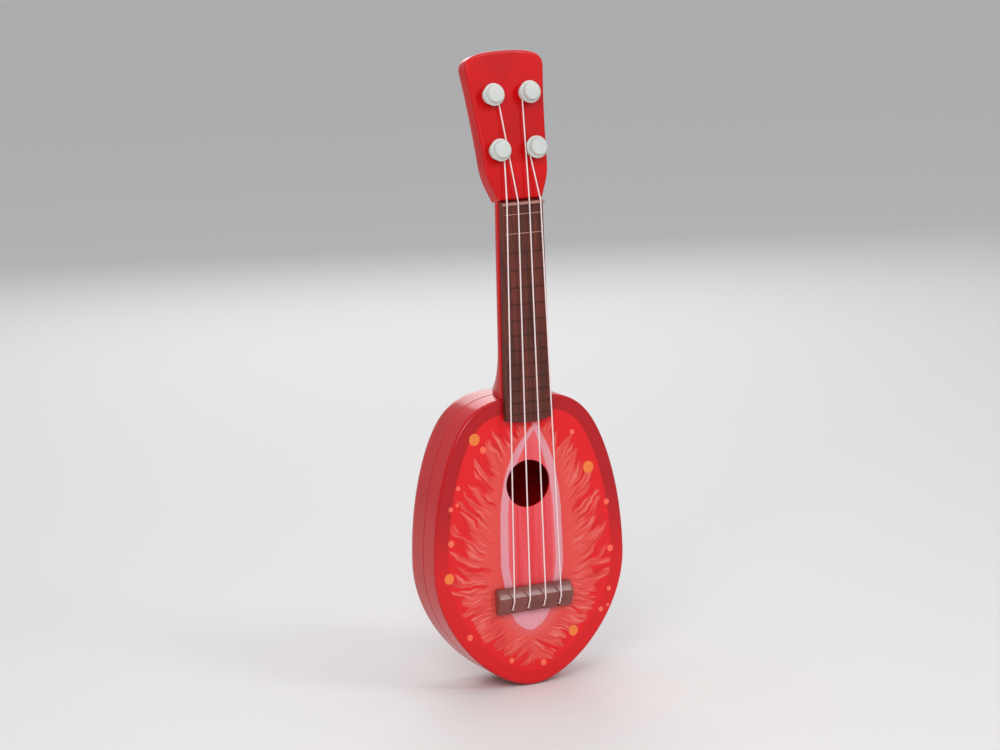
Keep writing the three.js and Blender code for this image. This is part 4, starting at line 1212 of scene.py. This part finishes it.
def string_path(i):
    """From the knot: round the bridge's lower edge, over its crest, straight to the nut, straight
    to the peg, and round it. `lay` is how far out of the face and up the bridge the first points lie."""
    x = STRING_X[i]
    lay = [(1.6, 4.4), (1.7, 3.1), (2.5, 2.3), (3.7, 2.2)]
    route = [(x, FACE - out, BRIDGE_LOW + up) for out, up in lay]
    route += [(x, FACE - slope(z) - CLEAR - 0.1, z) for z in (BRIDGE_LOW + 3, CREST_AT - 2.4)]
    route += [(x, FACE - CREST - CLEAR + 0.1, CREST_AT - 0.9), (x, FACE - CREST - CLEAR, CREST_AT + 0.2)]
    nut_point = np.array([(i - 1.5) * NUT_SPREAD, FACE - BOARD_TOP - 0.7 - CLEAR, NUT - GAP])
    peg_x, peg_z = PEGS[STRING_PEG[i]]
    local = np.linalg.inv(HEAD_FRAME) @ np.append(nut_point, 1)
    turns = wound(local, peg_x, peg_z) @ HEAD_FRAME[:3, :3].T + HEAD_FRAME[:3, 3]
    route = np.array(route)
    start = route[-1]
    before = start + (nut_point - start) * np.linspace(0.02, 0.996, 14)[:, None]
    after = nut_point + (turns[0] - nut_point) * np.linspace(0.03, 0.98, 8)[:, None]
    return np.vstack([spline(route), before, nut_point, after, turns])


print("the first string's route has", len(string_path(0)), "points")

# %% [markdown]
# ## The four strings
# The strings differ only in their places and pegs, so one loop makes them. Each could be one path
# with the knot at its start. The knot is a short tube of its own instead, in the same mesh, because
# it is hidden in the bridge's pocket and its join to the string can't be seen.

# %% The four strings
for i in range(4):
    path = string_path(i)
    length = np.linalg.norm(np.diff(path, axis=0), axis=1).sum()
    print("string", i + 1, "is", round(length), "mm long")
    shape = [tube(path, STRING_R, 12), knot(STRING_X[i], BRIDGE_LOW + 5.2)]
    name = f"nylon_string_{i + 1}"
    piece(name, mesh_of(name, shape, 60), NYLON, [f"string_{i + 1}"])

# %% [markdown]
# ## The pegs' shapes
# A peg is three pieces on one axis: a capped post in front, a wing key behind and the screw that
# joins them. The cap is a thin flange with a raised round boss, so the post is a turned shape. The
# key begins as a round hub and flattens into a wing. It could be two solids joined by a boolean; one
# superellipse whose half sizes change along the axis has no crease between hub and wing.

# %% Posts and keys
WASHER_R, WASHER_THICK = 5.4, 0.8
WASHER_Y = HEAD_THICK + GAP
KEY_Y = WASHER_Y + WASHER_THICK + GAP
POST_END = KEY_Y + 3.0
KEY_END = KEY_Y + 6.0
SCREW_SEAT = POST_END + 1.2


def post_shape():
    """The post's profile, from the middle of the cap to its end inside the key."""
    cap = rounded([(0.01, -9.2), (4.6, -9.2), (5.3, -5.9), (6.3, -5.9), (6.3, -4.8), (4, -4.8)], 0.55, 6)
    shaft = rounded([(4, -4.8), (POST_R, -4.8), (POST_R, -BASE_HEIGHT), (5, -BASE_HEIGHT), (5, -GAP),
                     (POST_R, -GAP), (POST_R, POST_END), (0.01, POST_END)], 0.2, 4)
    return lathe(np.vstack([cap[:-1], shaft[1:]]), 64)


def key_shape():
    """|x / a|^n + |z / b|^n = 1 at each y: a hub, 4.4 mm in radius, then a wing 17 mm by 3.8 mm
    that ends in a rounded edge."""
    hub, wing_thick, wing_length = 4.4, 1.9, 8.6
    y = np.concatenate([KEY_Y + 0.3 * (1 - np.cos(turn(0, 90, 4))),
                        np.linspace(KEY_Y + 1, KEY_END - 2, 5),
                        np.linspace(KEY_END - 1.5, KEY_END + 5.2, 16),
                        KEY_END + 5.4 + 2.1 * np.sin(turn(0, 88, 9))])
    spread = np.clip((y - KEY_END + 2) / 5.5, 0, 1)
    spread = spread * spread * (3 - 2 * spread)
    close = np.sqrt(np.clip(1 - (np.clip(y - KEY_END - 5.4, 0, None) / 2.12) ** 2, 0.0004, 1))
    begin = 1 - 0.07 * np.clip(1 - (y - KEY_Y) / 0.3, 0, 1)
    thick = (hub + (wing_thick - hub) * spread) * close ** 0.8 * begin
    length = (hub + (wing_length - hub) * spread) * (0.72 + 0.28 * close) * begin
    power = 2 / (2 + 0.9 * spread)
    u = np.linspace(0, 2 * math.pi, 72, endpoint=False)
    rings = []
    for at, a, b, p in zip(y, thick, length, power):
        c, s = np.cos(u), np.sin(u)
        rings.append(np.column_stack([a * np.sign(c) * np.abs(c) ** p, np.full(72, at),
                                      b * np.sign(s) * np.abs(s) ** p]))
    return skin(rings)


print("the key reaches", round(KEY_END + 7.5, 1), "mm behind the headstock's face")

# %% [markdown]
# ## Screws
# Every screw on the toy is a small pan head with a cross recess and a rough thread. The thread could
# be a true helix, but inside a dark well nobody can tell it from plain rings. So the screw is one
# turned profile with a ring for each turn, and only the recess is cut.

# %% The screw
def cross_tool(depth, top):
    """A tapered plus-shaped punch for a cross recess: wide at the head's top, small at its foot."""
    def ring(y, k):
        w, r = 0.42 * k, 1.45 * k
        plan = np.array([(w, w), (w, r), (-w, r), (-w, w), (-r, w), (-r, -w),
                         (-w, -w), (-w, -r), (w, -r), (w, -w), (r, -w), (r, w)])
        return np.column_stack([plan[:, 0], np.full(12, y), plan[:, 1]])
    return skin([ring(top - depth, 0.45), ring(top + 0.3, 1.0)])


def screw_mesh(length):
    """A pan-head screw about Y, its seat at y = 0: a domed head, a cross recess and a threaded shank."""
    dome = [(2.5 * math.cos(a), 0.9 + 0.8 * math.sin(a)) for a in turn(0, 88, 10)]
    turns = np.arange(0.6, length - 1.8, 0.45)
    thread = [(r, -y - d) for y in turns for r, d in ((0.78, 0.0), (1.0, 0.2))]
    profile = [(0.01, -length), (0.3, -length + 0.3), *thread[::-1], (1.0, 0), (2.4, 0), (2.5, 0.1), *dome]
    return carved(mesh_of("screw", [lathe(profile, 32)]), ("DIFFERENCE", [cross_tool(1.0, 1.7)]))


def carried(mesh, matrix):
    """A copy of a mesh carried to its place by a matrix in millimetres."""
    copy = mesh.copy()
    matrix = Matrix(matrix.tolist())
    matrix.translation *= MM
    copy.transform(matrix)
    return copy


def set_screws(mesh, prefix, places, body="guitar"):
    """Copies of one screw, each at its own place."""
    for number, matrix in places:
        piece(f"{prefix}_zinc_{number}", carried(mesh, matrix), STEEL, [f"{prefix}_{number}"],
              body)


def at(x, y, z, base=np.eye(4)):
    """A matrix that moves to (x, y, z) inside another frame."""
    here = np.eye(4)
    here[:3, 3] = (x, y, z)
    return base @ here


peg_screw = screw_mesh(7.0)
print("a screw has", len(peg_screw.polygons), "faces")

# %% [markdown]
# ## Setting the pegs
# Each peg stands square to the leaning headstock, with a black friction washer under its key. The
# meshes are made once about their own axis. Four objects could share each mesh and be moved. Here
# each gets its own copy with the place written into it, and the post, the key and the screw ride on
# the body of their peg, so that they turn with it while the washer stays.

# %% The four pegs
key_cut = lathe([(WELL_R, SCREW_SEAT), (WELL_R, KEY_END + 20)], 40)
key_bore = lathe([(PEG_HOLE_R, KEY_Y - 1), (PEG_HOLE_R, POST_END + GAP)], 40)
key_mesh = carved(mesh_of("key", [key_shape()]), ("DIFFERENCE", [key_cut]), ("DIFFERENCE", [key_bore]))
disc = lathe(rounded([(0.01, WASHER_Y), (WASHER_R, WASHER_Y), (WASHER_R, WASHER_Y + WASHER_THICK),
                      (0.01, WASHER_Y + WASHER_THICK)], 0.2), 48)
disc_bore = lathe([(PEG_HOLE_R, WASHER_Y - 1), (PEG_HOLE_R, WASHER_Y + 3)], 40)
washer_mesh = carved(mesh_of("washer", [disc]), ("DIFFERENCE", [disc_bore]))
for number, (x, z) in enumerate(PEGS, 1):
    spot = at(x, 0, z, HEAD_FRAME)
    body = f"peg_{number}"
    post_mesh = mesh_of(f"post_{number}", [placed(post_shape(), spot)])
    piece(f"post_{number}", post_mesh, PEG_WHITE, [f"peg_post_{number}"], body)
    piece(f"key_{number}", carried(key_mesh, spot), PEG_WHITE, [f"peg_key_{number}"], body)
    piece(f"washer_{number}", carried(washer_mesh, spot), WASHER_BLACK, [f"peg_washer_{number}"])
    set_screws(peg_screw, "peg_screw", [(number, at(x, SCREW_SEAT + GAP, z, HEAD_FRAME))], body)

# %% [markdown]
# ## The other screws
# Six screws close the body from behind and three hold the neck's halves together. Four more sit
# inside the body, two into the heel and two into the bridge, where only the sound hole could show
# them. They could be left out of a picture, but each stands for a node, and a cut through the model
# should find it. Only the length differs, so one function makes them all.

# %% Screws of the body, the neck, the heel and the bridge
HEEL_SCREWS, BRIDGE_SCREWS, BRIDGE_SCREW_AT = (9.8, 24.5), (-17, 17), 54.6
lying = np.array([[1, 0, 0, 0], [0, 0, 1, 0], [0, -1, 0, 0], [0, 0, 0, 1]], float)
set_screws(screw_mesh(BACK - SEAM - WELL_DEPTH + 8), "body_screw",
           [(n, at(x, BACK - WELL_DEPTH + GAP, z)) for n, (x, z) in enumerate(SCREW_PLACES, 1)])
set_screws(screw_mesh(NECK_DEPTH - SEAT - 1.6), "neck_screw",
           [(n, at(0, neck_seat + GAP, z)) for n, z in enumerate(NECK_SCREWS, 1)])
set_screws(screw_mesh(HEAD_THICK - SEAT - 1.6), "neck_screw",
           [(3, at(0, HEAD_THICK - SEAT + GAP, HEAD_SCREW, HEAD_FRAME))])
set_screws(screw_mesh(11.0), "heel_screw",
           [(n, at(0, FACE + depth, BODY_LENGTH - WALL - GAP) @ lying)
            for n, depth in enumerate(HEEL_SCREWS, 1)])
set_screws(screw_mesh(WALL + GAP + 3.7), "bridge_screw",
           [(n, at(x, FACE + WALL + GAP, BRIDGE_SCREW_AT)) for n, x in enumerate(BRIDGE_SCREWS, 1)])

# %% [markdown]
# ## Floor and light
# The toy stands on a plain pale floor. A single small lamp would leave one hard spot on the gloss.
# Large soft lamps and a bright, even room are used, because glossy plastic shows its shape by the
# broad reflections in it.

# %% The floor and the lamps
def stage_floor():
    """A square of 12 m, just under the lowest point of the body."""
    far, low = 6, -0.0003
    corners = [(-far, -far, low), (far, -far, low), (far, far, low), (-far, far, low)]
    mesh = bpy.data.meshes.new("floor")
    mesh.from_pydata(corners, [], [(0, 1, 2, 3)])
    floor = bpy.data.objects.new("floor", mesh)
    bpy.context.scene.collection.objects.link(floor)
    finish = Finish("floor_pale", 0.7)
    finish.give("Base Color", colour(226, 224, 222))
    mesh.materials.append(finish.material)
    floor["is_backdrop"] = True


def lamp(name, place, aim, size, power):
    """A square area lamp that looks at a point."""
    light = bpy.data.lights.new(name, "AREA")
    light.size = size
    light.energy = power
    holder = bpy.data.objects.new(name, light)
    holder.location = place
    holder.rotation_euler = (Vector(aim) - Vector(place)).to_track_quat("-Z", "Y").to_euler()
    bpy.context.scene.collection.objects.link(holder)


stage_floor()
lamp("key", (-0.75, -1.1, 1.0), (0, 0, 0.18), 0.7, 9)
lamp("fill", (0.66, -1.04, 1.1), (0, 0, 0.1), 0.4, 4)
lamp("top", (0.1, 0.1, 1.3), (0, 0, 0.18), 0.8, 3)
lamp("rear", (0.5, 1.3, 0.8), (0, 0, 0.2), 0.9, 5)
world = bpy.data.worlds.new("room")
world.use_nodes = True
world.node_tree.nodes["Background"].inputs["Color"].default_value = (0.95, 0.96, 1.0, 1)
world.node_tree.nodes["Background"].inputs["Strength"].default_value = 0.55
bpy.context.scene.world = world
bpy.context.scene.view_settings.view_transform = "Standard"
print("lamps:", [light.name for light in bpy.data.lights])

# %% [markdown]
# ## The camera
# The camera stands to the left of the guitar and a little above it, and leans by a degree or two. A
# short lens close by would swell the body and shrink the headstock. A long lens from almost two
# metres keeps them in proportion. Its direction is worked out from two angles, so that turning it
# round the toy means changing one number.

# %% The camera
AZIMUTH, ELEVATION, LEAN = math.radians(-25.7), math.radians(11.05), math.radians(-1.86)
DISTANCE, LENS = 1.857, 119.2
AIM_LEFT, AIM_UP = 0.0145, 0.0179


def camera():
    """Looks at the body's face from a direction given by two angles, rolled by a small lean."""
    sin_a, cos_a = math.sin(AZIMUTH), math.cos(AZIMUTH)
    sin_e, cos_e = math.sin(ELEVATION), math.cos(ELEVATION)
    target = Vector((0, FACE * MM, (NUT - 117) * MM))
    behind = Vector((sin_a * cos_e, -cos_a * cos_e, sin_e))
    right = Vector((cos_a, sin_a, 0))
    up = Vector((-sin_a * sin_e, cos_a * sin_e, cos_e))
    right, up = right * math.cos(LEAN) + up * math.sin(LEAN), up * math.cos(LEAN) - right * math.sin(LEAN)
    place = target + behind * DISTANCE
    look = (place - (target - right * AIM_LEFT + up * AIM_UP)).normalized()
    right = up.cross(look).normalized()
    up = look.cross(right)
    lens = bpy.data.cameras.new("camera")
    lens.lens = LENS
    holder = bpy.data.objects.new("camera", lens)
    holder.matrix_world = Matrix.Translation(place) @ Matrix((right, up, look)).transposed().to_4x4()
    bpy.context.scene.collection.objects.link(holder)
    bpy.context.scene.camera = holder


camera()
print("the camera stands at", [round(v, 2) for v in bpy.context.scene.camera.matrix_world.translation])

# %% [markdown]
# ## Sizes
# Last, the box round everything that was made is measured and printed beside the mechanical model's box.
# The two could be compared by eye, but printed measures show a slip of a tenth of a millimetre.

# %% Sizes
visual_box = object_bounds()
plain = [[list(map(float, corner)) for corner in box] for box in (cad_box, visual_box)]
print("cad", plain[0], "visual", plain[1])
